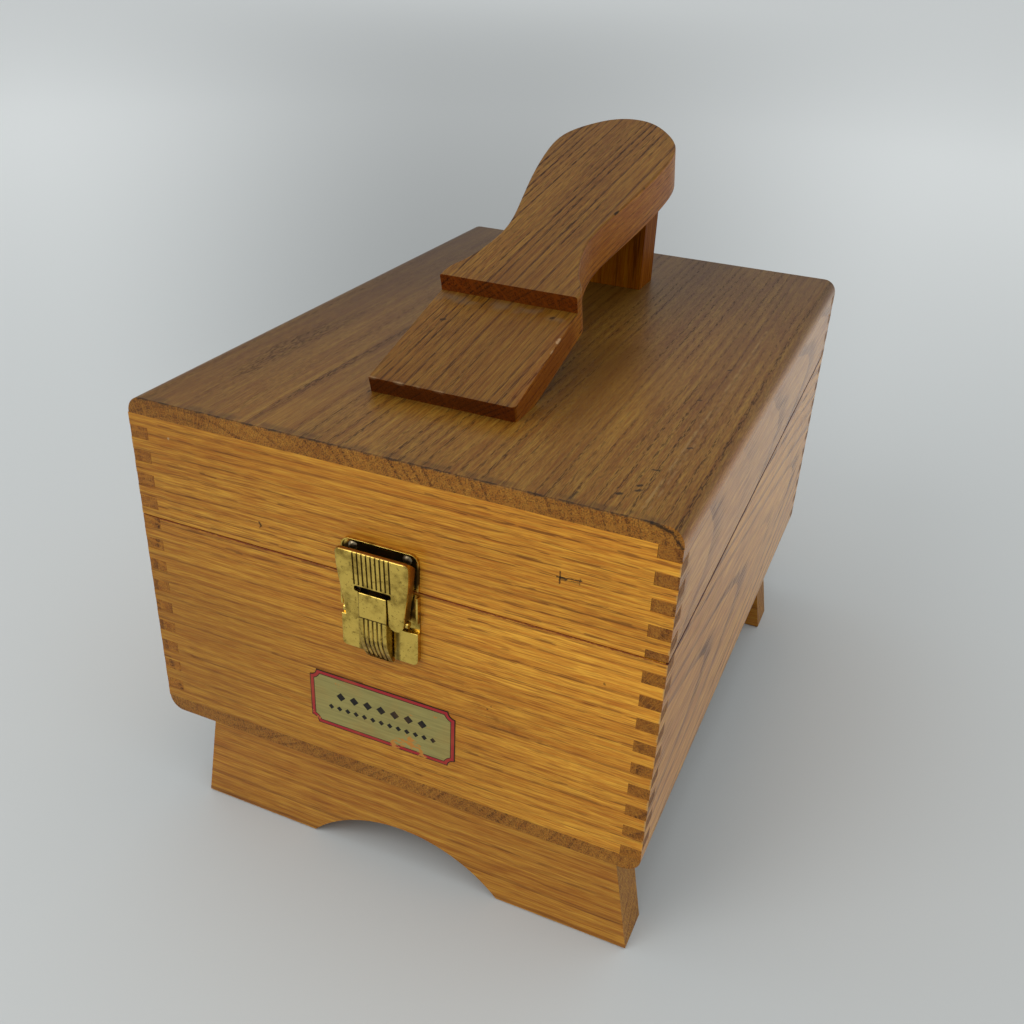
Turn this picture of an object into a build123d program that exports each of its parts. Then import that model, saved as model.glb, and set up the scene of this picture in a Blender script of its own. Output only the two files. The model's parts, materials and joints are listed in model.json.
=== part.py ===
"""Wooden shoe shine box: a finger-jointed oak box on two arched feet, with a hinged lid that
carries a sole-shaped footrest, two butt hinges at the back and a spring catch at the front.

Millimetres, +Z up. X runs along the latch face, Y from the latch face to the hinges. The origin
is on the floor, in the middle of the outline seen from above, catch and hinges included.
Each function builds one piece of the object in its place, and main() writes one STEP per piece.
"""
from build123d import *
from math import atan, cos, degrees
import os

# ---- box ----------------------------------------------------------------------------------------
WIDTH = 250.0            # along the latch face
DEPTH = 344.0            # latch face to hinge face
BOARD = 9.5              # thickness of the four side boards, and length of a finger
PANEL = 8.0              # thickness of the top and bottom panels
PANEL_ROUND = 7.6        # radius along the panels' two long edges
PANEL_ARRIS = 0.5        # small chamfer along the panels' end-grain edges
FINGER = 5.83            # height of one finger
FINGER_COUNT = 27        # fingers and slots in the height of a corner, before sawing
SAW_KERF = 1.4           # height lost where the lid was sawn off
LID_FRONT = 58.7         # lid height at the latch face: the saw cut rises towards the hinges
LID_BACK = 46.4          # lid height at the hinge face
SEAM_GAP = 0.5           # between the rim of the base and the rim of the lid
FIT_GAP = 0.05           # radial clearance of a pin that turns in its hole

# ---- feet ---------------------------------------------------------------------------------------
FOOT_HEIGHT = 50.5
FOOT_THICK = 21.0
FOOT_TOP_LENGTH = 213.0
FOOT_FLOOR_LENGTH = 231.0
FOOT_SHIFT = 8.0         # both feet sit this far off the middle of the box
FRONT_FOOT_SETBACK = 1.0
REAR_FOOT_SETBACK = 40.0
ARCH_SPAN = 102.0
ARCH_RISE = 23.0
FOOT_ARRIS = 0.8

# ---- footrest, measured from the lid's top face and the middle of the box -----------------------
SOLE_SLOPE = atan(0.29)
SOLE_THICK = 22.4
HEEL_THICK = 13.7        # the heel is cut lower than the sole
HEEL_FRONT = -117.0      # front edge of the heel's flat, in Y
SOLE_LIFTS_OFF = -96.0   # where the underside leaves the lid, in Y
HEEL_HALF = 35.2
HEEL_CORNER = 2.2        # at the right front corner; the left one is sharp
STEP_AT = 53.3           # along the board, from where the underside leaves the lid
TOE_AT = 238.6
# half-widths of the sole behind the step: (half-width, distance along the board)
SOLE_OUTLINE = [(35.2, 56.0), (30.6, 68.5), (25.6, 82.5), (22.7, 101.0), (25.6, 127.0),
                (31.2, 157.0), (34.8, 187.0), (32.6, 212.0), (21.6, 228.0)]
SOLE_EDGE_ROUND = 1.2
POST_HALF = 23.7
POST_FRONT = 89.7
POST_THICK = 23.0
HEEL_SCREW_PLACE = (19.0, -105.5)  # from the middle of the box, one each side

# ---- catch, measured from the latch face and the seam's front -----------------------------------
LATCH_X = 0.3
PLATE = 0.8              # sheet thickness of the two fixed plates
SHEET = 1.0              # sheet thickness of the moving cover and thumb slide
PLATE_HALF = 18.6
PLATE_TOP = -1.3
PLATE_BOTTOM = -36.1
PLATE_CORNER = 3.0
PAD_TOP = -19.5          # the base plate is thicker below this
PAD_OUT = 2.8
PAD_ROUND = 0.5
CHANNEL_DEEP = 2.0       # the pads overhang a channel, from the plate's face to this far out
CHANNEL_WIDE = 9.1
FLANGE = (1.1, 1.7, 8.6)          # the slide's flange: from, to, and half-width
FLANGE_TOP = -22.0
KEEPER_HALF = 18.3
KEEPER_TOP = 18.3
KEEPER_BOTTOM = 1.0
KEEPER_RIM = 0.8
KEEPER_CORNER = 4.0
KEEPER_TAB = (6.5, 8.0, 3.9)      # bottom, top and reach of the tab that the hook passes
KEEPER_TAB_HALF = 5.0
# half-widths of the cover from its top down to the ends of its legs: (half-width, up)
HASP_SIDE = [(17.2, 17.2), (16.8, 5.0), (15.4, -5.0), (14.3, -13.0), (14.0, -17.9)]
HASP_CORNER = 2.6
HASP_TOP = 17.2
HASP_WALL_TOP = 12.5     # its side walls slope down to here behind the lip
LEG_END = -17.9
HASP_OUT = 8.7           # reach of its top; the face leans back towards the pivot
HASP_LEAN = 0.058
HASP_BACK = 1.9
HASP_LIP = 2.0
HASP_ROUND = 0.9
HASP_CHAMFER = 0.8       # inside, between its top and its face
HASP_HOOK = (9.0, 10.4, 4.4)      # bottom, top and nearest reach of the hook inside the cover
HOOK_HALF = 4.0
PIVOT_OUT = 4.4
PIVOT_UP = -14.5
PIVOT_HEAD = (1.6, 14.5, 15.6)    # head of a pivot pin: radius, from and to
KNUCKLE = 2.6
EAR = (11.4, 12.6)       # the ears stand inside the cover's legs: from and to
EAR_ROUND = 1.5
SLOT_TOP = 0.3
SLOT_HALF = 8.8
SLOT_ROUND = 1.0
TONGUE_HALF = 6.6
TONGUE_TOP = -2.5
TONGUE_BOTTOM = -14.8
TONGUE_OUT = 8.2
TONGUE_ROUND = 0.6
CATCH_GAP = 0.5
RIB_PITCH = 2.12
RIB_COUNT = 9
RIB_WIDE = 0.8
RIB_DEEP = 0.45
RIB_SPAN = (0.9, 16.4)
SLIDE_RIB_COUNT = 5
# the thumb slide's surface down its middle: (out, up)
SLIDE_CREST = [(8.2, -14.8), (8.3, -20.0), (8.1, -24.6), (7.4, -28.0), (6.4, -31.0), (4.7, -34.7),
               (2.9, -38.0)]
SLIDE_BACK = 1.1
RIVET_HEAD = 2.3
RIVET_RISE = 1.3
RIVET_SHANK = 1.1
RIVET_LENGTH = 7.0
KEEPER_RIVETS = [(-12.9, 14.9), (12.9, 14.9)]
BASE_RIVETS = [(-12.0, -6.0), (12.0, -6.0), (0.0, -29.5)]

# ---- label --------------------------------------------------------------------------------------
LABEL_WIDE = 74.6
LABEL_HIGH = 31.0
LABEL_X = -1.4
LABEL_DOWN = 73.3        # its middle, below the seam's front
LABEL_NOTCH = 3.5        # radius of the hollow cut out of each corner
LABEL_THICK = 0.3

# ---- hinges and screws --------------------------------------------------------------------------
HINGE_X = 75.0
LEAF_LONG = 40.0
LEAF_HIGH = 16.0
LEAF_THICK = 1.2
KNUCKLE_OUT = 2.4        # hinge axis, out from the hinge face
BARREL = 2.2
BARREL_PARTS = 5
BARREL_GAP = 0.25
LEAF_CLEAR = 2.8         # the leaves stop this far from the axis
HINGE_PIN = 1.0
PIN_HEAD = (1.7, 0.7)             # radius and thickness of the heads of a hinge pin
PIN_END_GAP = 0.1
LEAF_OFF = 0.2                    # gap behind the neck that joins a barrel part to its leaf
LEAF_SCREW_PITCH = 14.0
LEAF_SCREW_DOWN = 9.6
SMALL_SCREW = (2.5, 1.3, 8.0)     # head radius, shank radius and length
WOOD_SCREW = (4.0, 2.0, 34.0)
SHORT_SCREW = (3.2, 1.6, 15.0)
SCREW_SLOT = 0.5
FOOT_SCREW_X = 72.0
POST_SCREW_X = 13.0

# ---- levels and faces that follow ---------------------------------------------------------------
HINGE_REACH = KNUCKLE_OUT + BARREL
MIDDLE_Y = (HASP_OUT - HINGE_REACH) / 2
FRONT = MIDDLE_Y - DEPTH / 2
BACK = MIDDLE_Y + DEPTH / 2
HALF = WIDTH / 2
BOX_BOTTOM = FOOT_HEIGHT
WALL_BOTTOM = BOX_BOTTOM + PANEL
WALL_TOP = WALL_BOTTOM + FINGER_COUNT * FINGER - SAW_KERF
BOX_TOP = WALL_TOP + PANEL
SEAM_FRONT = BOX_TOP - LID_FRONT
SEAM_BACK = BOX_TOP - LID_BACK
HINGE_Y = BACK + KNUCKLE_OUT
FAR = 500.0              # larger than the object, for cutting blocks
NEAR = 0.02              # tolerance when an edge is picked by its place

# fingers of the side boards stand at the odd levels of a corner (0) or at the even ones (1)
ODD, EVEN = 0, 1


def block(x0, x1, y0, y1, z0, z1):
    """A box between two corners."""
    size = (x1 - x0, y1 - y0, z1 - z0)
    middle = ((x0 + x1) / 2, (y0 + y1) / 2, (z0 + z1) / 2)
    return Pos(*middle) * Box(*size)


def prism_x(outline, x0, x1):
    """A closed (y, z) outline drawn out along X."""
    wire = Polyline(*[(x0, y, z) for y, z in outline], close=True)
    return extrude(make_face(wire), amount=x1 - x0, dir=(1, 0, 0))


def prism_y(outline, y0, y1):
    """A closed (x, z) outline drawn out along Y."""
    wire = Polyline(*[(x, y0, z) for x, z in outline], close=True)
    return extrude(make_face(wire), amount=y1 - y0, dir=(0, 1, 0))


def rod_x(radius, x0, x1, y, z):
    """A round bar along X."""
    return Pos((x0 + x1) / 2, y, z) * Rot(0, 90, 0) * Cylinder(radius, x1 - x0)


def rod_y(radius, y0, y1, x, z):
    """A round bar along Y."""
    return Pos(x, (y0 + y1) / 2, z) * Rot(90, 0, 0) * Cylinder(radius, y1 - y0)


def seam_height(y):
    """Height of the saw cut at a depth y."""
    return SEAM_FRONT + (SEAM_BACK - SEAM_FRONT) * (y - FRONT) / DEPTH


def beyond_seam(side):
    """Everything above the saw cut (side 1) or below it (side -1), less half the gap."""
    rim = [(y, seam_height(y) - side * SEAM_GAP / 2) for y in (-FAR, FAR)]
    return prism_x(rim + [(FAR, side * 2 * FAR), (-FAR, side * 2 * FAR)], -FAR, FAR)


# ---- the finger-jointed walls -------------------------------------------------------------------
def comb(half, levels, plus_end, minus_end):
    """Outline of a board whose two ends are combs: fingers at odd or even levels of each end."""
    outline = []
    steps = range(len(levels) - 1)
    for k in steps:
        reach = half if k % 2 == plus_end else half - BOARD
        outline += [(reach, levels[k]), (reach, levels[k + 1])]
    for k in reversed(steps):
        reach = half if k % 2 == minus_end else half - BOARD
        outline += [(-reach, levels[k + 1]), (-reach, levels[k])]
    return outline


def wall_levels(part):
    """Finger levels of the base, counted up from the floor panel, or of the lid, from its top."""
    if part == "base":
        count = int((SEAM_BACK - WALL_BOTTOM) / FINGER) + 2
        return [WALL_BOTTOM + FINGER * k for k in range(count)]
    count = int((WALL_TOP - SEAM_FRONT) / FINGER) + 2
    return [WALL_TOP - FINGER * k for k in range(count)]


def walls(part):
    """The four boards of the base or the lid. Each board starts with a finger at its left end,
    seen from outside, and with a slot at its right end."""
    levels = wall_levels(part)
    waste = beyond_seam(1 if part == "base" else -1)
    side_half = DEPTH / 2
    boards = {
        "front": prism_y(comb(HALF, levels, EVEN, ODD), FRONT, FRONT + BOARD),
        "back": prism_y(comb(HALF, levels, ODD, EVEN), BACK - BOARD, BACK),
        "right": Pos(0, MIDDLE_Y, 0) * prism_x(comb(side_half, levels, EVEN, ODD), HALF - BOARD, HALF),
        "left": Pos(0, MIDDLE_Y, 0) * prism_x(comb(side_half, levels, ODD, EVEN), -HALF, BOARD - HALF),
    }
    return {f"{part}_{side}_board": board - waste for side, board in boards.items()}


def panel(z0, z1, rounded_z):
    """Top or bottom panel: its two long edges at rounded_z are rounded over."""
    solid = block(-HALF, HALF, FRONT, BACK, z0, z1)
    level = (Axis.Z, rounded_z - NEAR, rounded_z + NEAR)
    solid = fillet(solid.edges().filter_by(Axis.Y).filter_by_position(*level), PANEL_ROUND)
    return chamfer(solid.edges().filter_by(Axis.X).filter_by_position(*level), PANEL_ARRIS)


# ---- feet ---------------------------------------------------------------------------------------
def foot(y0):
    """Foot board along X: ends splayed outwards, and a round arch cut in the lower edge."""
    top, low = FOOT_TOP_LENGTH / 2, FOOT_FLOOR_LENGTH / 2
    outline = [(-low, 0), (low, 0), (top, FOOT_HEIGHT), (-top, FOOT_HEIGHT)]
    board = prism_y([(x + FOOT_SHIFT, z) for x, z in outline], y0, y0 + FOOT_THICK)
    board = chamfer(board.edges().filter_by_position(Axis.Z, -NEAR, NEAR), FOOT_ARRIS)
    radius = (ARCH_SPAN ** 2 / 4 + ARCH_RISE ** 2) / (2 * ARCH_RISE)
    return board - rod_y(radius, y0 - 1, y0 + FOOT_THICK + 1, FOOT_SHIFT, ARCH_RISE - radius)


# ---- footrest -----------------------------------------------------------------------------------
def on_slope(solid):
    """Move a solid from the footrest board's own frame to its place on the lid.
    In that frame Y runs along the underside from where it leaves the lid, and Z is square to it."""
    place = Pos(0, MIDDLE_Y + SOLE_LIFTS_OFF, BOX_TOP)
    return place * Rot(degrees(SOLE_SLOPE), 0, 0) * solid


def heel_reach():
    """Distance from the front end of the heel to where the underside leaves the lid."""
    return (SOLE_LIFTS_OFF - HEEL_FRONT) * cos(SOLE_SLOPE)


def footrest_sole():
    """Thick board in the outline of a shoe sole, with a lower heel in front of a square step.
    Its underside slopes up from the lid, and the heel's underside is planed flat on the lid."""
    front = -heel_reach()
    side = Spline(*SOLE_OUTLINE, (0, TOE_AT), tangents=[(0, 1), (-1, 0)])
    other = side.mirror(Plane.YZ)
    across = Line((-HEEL_HALF, SOLE_OUTLINE[0][1]), (HEEL_HALF, SOLE_OUTLINE[0][1]))
    sole = extrude(make_face([side, other, across]), amount=SOLE_THICK)
    neck = block(-HEEL_HALF, HEEL_HALF, STEP_AT, SOLE_OUTLINE[0][1], 0, SOLE_THICK)
    sole = sole + neck
    above = [e for e in sole.edges() if e.bounding_box().min.Z > SOLE_THICK - NEAR]
    sole = fillet([e for e in above if e.center().Y > STEP_AT + NEAR], SOLE_EDGE_ROUND)
    heel = block(-HEEL_HALF, HEEL_HALF, front, STEP_AT, 0, HEEL_THICK)
    corners = heel.edges().filter_by(Axis.Z).filter_by_position(Axis.Y, front - NEAR, front + NEAR)
    heel = fillet(corners.sort_by(Axis.X)[-1:], HEEL_CORNER)
    board = on_slope(sole + heel)
    return board - block(-FAR, FAR, -FAR, FAR, BOX_TOP - FAR, BOX_TOP)


def footrest_post():
    """Upright block that carries the toe end of the sole."""
    y0 = MIDDLE_Y + POST_FRONT
    post = block(-POST_HALF, POST_HALF, y0, y0 + POST_THICK, BOX_TOP, BOX_TOP + 4 * SOLE_THICK)
    above_underside = on_slope(block(-FAR, FAR, -FAR, FAR, 0, FAR))
    return post - above_underside


# ---- screws and rivets --------------------------------------------------------------------------
def screw(size):
    """Countersunk slotted screw along -Z, its head flush at the origin."""
    head, shank, length = size
    cone = head - shank
    profile = Polyline((0, 0), (head, 0), (shank, -cone), (shank, shank - length), (0, -length), close=True)
    body = revolve(Plane.XZ * make_face(profile), Axis.Z)
    return body - block(-head, head, -SCREW_SLOT / 2, SCREW_SLOT / 2, -cone / 2, 1)


def rivet(x, up, out, side=1):
    """Domed rivet in the latch face: (x, up) from the seam, its head standing on a face at out."""
    z = SEAM_FRONT + up
    dome = RIVET_HEAD ** 2 / (2 * RIVET_RISE) + RIVET_RISE / 2
    ball = Pos(x, FRONT - out - RIVET_RISE + dome, z) * Sphere(dome)
    head = ball & rod_y(RIVET_HEAD, FRONT - out - RIVET_RISE, FRONT - out, x, z)
    return head + rod_y(RIVET_SHANK, FRONT - out, FRONT + RIVET_LENGTH, x, z)


# ---- catch --------------------------------------------------------------------------------------
def face_block(x0, x1, out0, out1, up0, up1):
    """A box on the latch face: X from the catch's middle, out from the face, up from the seam."""
    return block(LATCH_X + x0, LATCH_X + x1, FRONT - out1, FRONT - out0, SEAM_FRONT + up0, SEAM_FRONT + up1)


def face_prism(outline, half, middle=0.0):
    """An (out, up) outline drawn along X, a distance to each side of a place near the catch's middle."""
    points = [(FRONT - out, SEAM_FRONT + up) for out, up in outline]
    return prism_x(points, LATCH_X + middle - half, LATCH_X + middle + half)


def pivot_rod(radius, x0, x1):
    """A bar on the cover's pivot axis."""
    return rod_x(radius, LATCH_X + x0, LATCH_X + x1, FRONT - PIVOT_OUT, SEAM_FRONT + PIVOT_UP)


def latch_base_plate():
    """Fixed plate on the base: two thicker pads beside the thumb slide, an ear for each pivot pin
    and a raised strip at each side of the cover."""
    plate = face_block(-PLATE_HALF, PLATE_HALF, 0, PLATE, PLATE_BOTTOM, PLATE_TOP)
    pad_inner = TONGUE_HALF + CATCH_GAP
    strip_inner = HASP_SIDE[0][0] + CATCH_GAP
    for side in (-1, 1):
        x0, x1 = sorted((side * pad_inner, side * PLATE_HALF))
        pad = face_block(x0, x1, 0, PAD_OUT, PLATE_BOTTOM, PAD_TOP)
        face = FRONT - PAD_OUT
        plate += fillet(pad.edges().filter_by_position(Axis.Y, face - NEAR, face + NEAR), PAD_ROUND)
        x0, x1 = sorted((0, side * CHANNEL_WIDE))
        plate -= face_block(x0, x1, PLATE, CHANNEL_DEEP, PLATE_BOTTOM - 1, PAD_TOP + 1)
        x0, x1 = sorted((side * EAR[0], side * EAR[1]))
        ear = face_block(x0, x1, 0, PIVOT_OUT, PIVOT_UP - EAR_ROUND, PIVOT_UP + EAR_ROUND)
        plate += ear + pivot_rod(EAR_ROUND, x0, x1)
        x0, x1 = sorted((side * strip_inner, side * PLATE_HALF))
        plate += face_block(x0, x1, 0, PAD_OUT, PIVOT_UP, PLATE_TOP)
    outline = face_block(-PLATE_HALF, PLATE_HALF, -1, 2 * PIVOT_OUT, PLATE_BOTTOM, PLATE_TOP)
    low = outline.edges().filter_by(Axis.Y).sort_by(Axis.Z)[:2]
    return plate & fillet(low, PLATE_CORNER)


def round_top(solid, radius):
    """Round the two upper corners of a plate on the latch face."""
    top = solid.bounding_box().max.Z
    corners = solid.edges().filter_by(Axis.Y).filter_by_position(Axis.Z, top - NEAR, top + NEAR)
    return fillet(corners, radius)


def latch_keeper_plate():
    """Plate on the lid with a raised rim round its top and sides, and the tab the hook passes."""
    low, high, reach = KEEPER_TAB
    outer, inner = KEEPER_HALF, KEEPER_HALF - KEEPER_RIM
    plate = face_block(-outer, outer, 0, PLATE + KEEPER_RIM, KEEPER_BOTTOM, KEEPER_TOP)
    pan = face_block(-inner, inner, PLATE, HASP_OUT, KEEPER_BOTTOM - 1, KEEPER_TOP - KEEPER_RIM)
    plate = round_top(plate, KEEPER_CORNER) - round_top(pan, KEEPER_CORNER - KEEPER_RIM)
    return plate + face_block(-KEEPER_TAB_HALF, KEEPER_TAB_HALF, 0, reach, low, high)


def rib_places(count):
    """Middles of a row of upright grooves, in X from the catch's middle."""
    return [RIB_PITCH * (k - (count - 1) / 2) for k in range(count)]


def hasp_face(up, inset=0.0):
    """How far out the cover's leaning face stands at a height."""
    return HASP_OUT - HASP_LEAN * (HASP_TOP - up) - inset


def hasp_outline(inset):
    """The cover's front view as a deep block: round upper corners, and sides that draw in downwards."""
    sides = [Spline(*[(LATCH_X + side * (half - inset), SEAM_FRONT + up) for half, up in HASP_SIDE])
             for side in (-1, 1)]
    ends = [Line(sides[0] @ at, sides[1] @ at) for at in (0, 1)]
    solid = Pos(0, FRONT + 1, 0) * Rot(90, 0, 0) * extrude(make_face(sides + ends), amount=2 * HASP_OUT)
    return fillet(solid.edges().filter_by(Axis.Y).sort_by(Axis.Z)[-2:], HASP_CORNER - inset)


def leg_waste(side):
    """What rounds off the end of one of the cover's legs, seen from the front."""
    inner, outer = TONGUE_HALF + CATCH_GAP, HASP_SIDE[-1][0]
    radius, middle = (outer - inner) / 2, side * (outer + inner) / 2
    x0, x1 = sorted((side * (inner - 1), side * (outer + 1)))
    waste = face_block(x0, x1, -1, 2 * HASP_OUT, LEG_END - 1, LEG_END + radius)
    z = SEAM_FRONT + LEG_END + radius
    return waste - rod_y(radius, FRONT - 3 * HASP_OUT, FRONT + 2, LATCH_X + middle, z)


def latch_hasp():
    """Hinged cover: a shallow box of sheet, open at the back, on two legs that straddle the slide."""
    knee = PIVOT_UP + KNUCKLE
    leg_face = PIVOT_OUT + KNUCKLE
    profile = [(HASP_BACK, PIVOT_UP), (HASP_BACK, HASP_TOP), (HASP_OUT, HASP_TOP), (hasp_face(knee), knee),
               (leg_face, PIVOT_UP), (leg_face, LEG_END), (leg_face - SHEET, LEG_END),
               (leg_face - SHEET, PIVOT_UP)]
    wide = HASP_SIDE[0][0] + 1
    shell = (face_prism(profile, wide) + pivot_rod(KNUCKLE, -wide, wide)) & hasp_outline(0)
    front = shell.faces().sort_by(Axis.Y)[0]
    rims = [e for e in front.edges() if e.center().Z > SEAM_FRONT + knee + NEAR]
    shell = fillet(rims, HASP_ROUND)
    under_top, below = HASP_TOP - SHEET, LEG_END - 1
    hollow = [(-1, below), (-1, HASP_TOP + 1), (HASP_OUT - HASP_LIP, HASP_TOP + 1),
              (HASP_OUT - HASP_LIP, under_top), (hasp_face(under_top, SHEET), under_top - HASP_CHAMFER),
              (hasp_face(knee, SHEET), knee), (leg_face - SHEET, PIVOT_UP), (leg_face - SHEET, below)]
    shell -= face_prism(hollow, wide) & hasp_outline(SHEET)
    shell -= face_prism([(-1, HASP_WALL_TOP), (HASP_BACK, HASP_WALL_TOP), (HASP_OUT - HASP_LIP, HASP_TOP),
                         (HASP_OUT - HASP_LIP, HASP_TOP + 1), (-1, HASP_TOP + 1)], wide)
    mouth = HASP_SIDE[0][0] - SHEET
    shell -= face_block(-mouth, mouth, -1, HASP_OUT - HASP_LIP, under_top, HASP_TOP + 1)
    shell -= face_block(-TONGUE_HALF - CATCH_GAP, TONGUE_HALF + CATCH_GAP, -1, 2 * HASP_OUT,
                        below, TONGUE_TOP + CATCH_GAP)
    slot = face_block(-SLOT_HALF, SLOT_HALF, -1, 2 * HASP_OUT, TONGUE_TOP, SLOT_TOP)
    shell -= fillet(slot.edges().filter_by(Axis.Y), SLOT_ROUND)
    shell = shell - leg_waste(-1) - leg_waste(1)
    low, high = RIB_SPAN
    band = [(HASP_OUT + 1, low), (hasp_face(low, RIB_DEEP), low), (hasp_face(high, RIB_DEEP), high),
            (HASP_OUT + 1, high)]
    for x in rib_places(RIB_COUNT):
        shell -= face_prism(band, RIB_WIDE / 2, x)
    return shell - pivot_rod(HINGE_PIN + FIT_GAP, -PLATE_HALF, PLATE_HALF)


def hasp_hook():
    """Hook inside the cover that catches the keeper's tab."""
    low, high, reach = HASP_HOOK
    return face_prism([(reach, low), (hasp_face(low, SHEET), low), (hasp_face(high, SHEET), high),
                       (reach, high)], HOOK_HALF)


def pivot_rivets():
    """The two short pins that the cover turns on: each is tight in an ear and headed outside a leg."""
    radius, inner, outer = PIVOT_HEAD
    pins = []
    for side in (-1, 1):
        x0, x1 = sorted((side * EAR[0], side * outer))
        h0, h1 = sorted((side * inner, side * outer))
        pins.append(pivot_rod(HINGE_PIN, x0, x1) + pivot_rod(radius, h0, h1))
    return pins


def latch_tongue():
    """Smooth square plate at the top of the thumb slide, which holds the cover shut."""
    plate = face_block(-TONGUE_HALF, TONGUE_HALF, TONGUE_OUT - SHEET, TONGUE_OUT, TONGUE_BOTTOM, TONGUE_TOP)
    outer = plate.edges().filter_by(Axis.X).sort_by(Axis.Y)[:2]
    return fillet(outer.sort_by(Axis.Z)[-1:], TONGUE_ROUND)


def slide_curve(inset):
    """The thumb slide's hump in (out, up), a given distance inside its surface."""
    return [(out - inset, up + inset / 3) for out, up in SLIDE_CREST]


def latch_thumb_slide():
    """Ribbed thumb piece: a curved shell, open at the back, that slides down the base plate.
    A flange at each side runs in the channels under the plate's pads."""
    bottom = SLIDE_CREST[-1][1]
    shell = face_prism([(SLIDE_BACK, TONGUE_BOTTOM)] + slide_curve(0) + [(SLIDE_BACK, bottom)], TONGUE_HALF)
    inner = slide_curve(SHEET)[1:-1]
    top = TONGUE_BOTTOM - SHEET
    shell -= face_prism([(-1, top), (TONGUE_OUT - SHEET, top)] + inner + [(-1, inner[-1][1])],
                        TONGUE_HALF - SHEET)
    skin = [(out + 1, up) for out, up in slide_curve(0)] + list(reversed(slide_curve(RIB_DEEP)))
    for x in rib_places(SLIDE_RIB_COUNT):
        shell -= face_prism(skin, RIB_WIDE / 2, x)
    low, high, half = FLANGE
    for side in (-1, 1):
        x0, x1 = sorted((side * (TONGUE_HALF - SHEET / 2), side * half))
        shell += face_block(x0, x1, low, high, PLATE_BOTTOM + NEAR, FLANGE_TOP)
    return shell


def front_label():
    """Thin blank label with a round notch at each corner."""
    w, h, middle = LABEL_WIDE / 2, LABEL_HIGH / 2, SEAM_FRONT - LABEL_DOWN
    label = block(LABEL_X - w, LABEL_X + w, FRONT - LABEL_THICK, FRONT, middle - h, middle + h)
    for x in (LABEL_X - w, LABEL_X + w):
        for z in (middle - h, middle + h):
            label -= rod_y(LABEL_NOTCH, FRONT - 1, FRONT + 1, x, z)
    return label


# ---- hinges -------------------------------------------------------------------------------------
def barrel_spans(own):
    """X spans of the barrel parts of one leaf: even places on the base leaf, odd on the lid leaf."""
    part = LEAF_LONG / BARREL_PARTS
    return [(part * k - LEAF_LONG / 2 + BARREL_GAP, part * (k + 1) - LEAF_LONG / 2 - BARREL_GAP)
            for k in range(BARREL_PARTS) if k % 2 == own]


def hinge_leaf(x, side):
    """One leaf flat on the hinge face, with its barrel parts: side -1 on the base, 1 on the lid.
    The pin is tight in the base leaf and turns in the lid leaf."""
    half = LEAF_LONG / 2
    z0, z1 = sorted((side * LEAF_CLEAR, side * LEAF_HIGH))
    leaf = block(x - half, x + half, BACK, BACK + LEAF_THICK, SEAM_BACK + z0, SEAM_BACK + z1)
    z0, z1 = sorted((0, side * LEAF_CLEAR))
    for x0, x1 in barrel_spans(0 if side < 0 else 1):
        leaf += block(x + x0, x + x1, BACK + LEAF_OFF, BACK + LEAF_THICK, SEAM_BACK + z0, SEAM_BACK + z1)
        leaf += rod_x(BARREL, x + x0, x + x1, HINGE_Y, SEAM_BACK)
    bore = HINGE_PIN if side < 0 else HINGE_PIN + FIT_GAP
    return leaf - rod_x(bore, x - half - 1, x + half + 1, HINGE_Y, SEAM_BACK)


def hinge_pin(x):
    """Pin through the barrel, with a small head at each end."""
    radius, thick = PIN_HEAD
    inner = LEAF_LONG / 2 + PIN_END_GAP
    outer = inner + thick
    pin = rod_x(HINGE_PIN, x - outer, x + outer, HINGE_Y, SEAM_BACK)
    for end in (-1, 1):
        x0, x1 = sorted((x + end * inner, x + end * outer))
        pin += rod_x(radius, x0, x1, HINGE_Y, SEAM_BACK)
    return pin


def hinge_screws(side):
    """The screws of both leaves on the base (side -1) or on the lid (side 1)."""
    z = SEAM_BACK + side * LEAF_SCREW_DOWN
    xs = [hinge + k * LEAF_SCREW_PITCH for hinge in (-HINGE_X, HINGE_X) for k in (-1, 0, 1)]
    return [Pos(x, BACK + LEAF_THICK, z) * Rot(-90, 0, 0) * screw(SMALL_SCREW) for x in xs]


def minus(solid, tools):
    """A solid with the seats of its fasteners cut out."""
    for tool in tools:
        solid -= tool
    return solid


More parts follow.
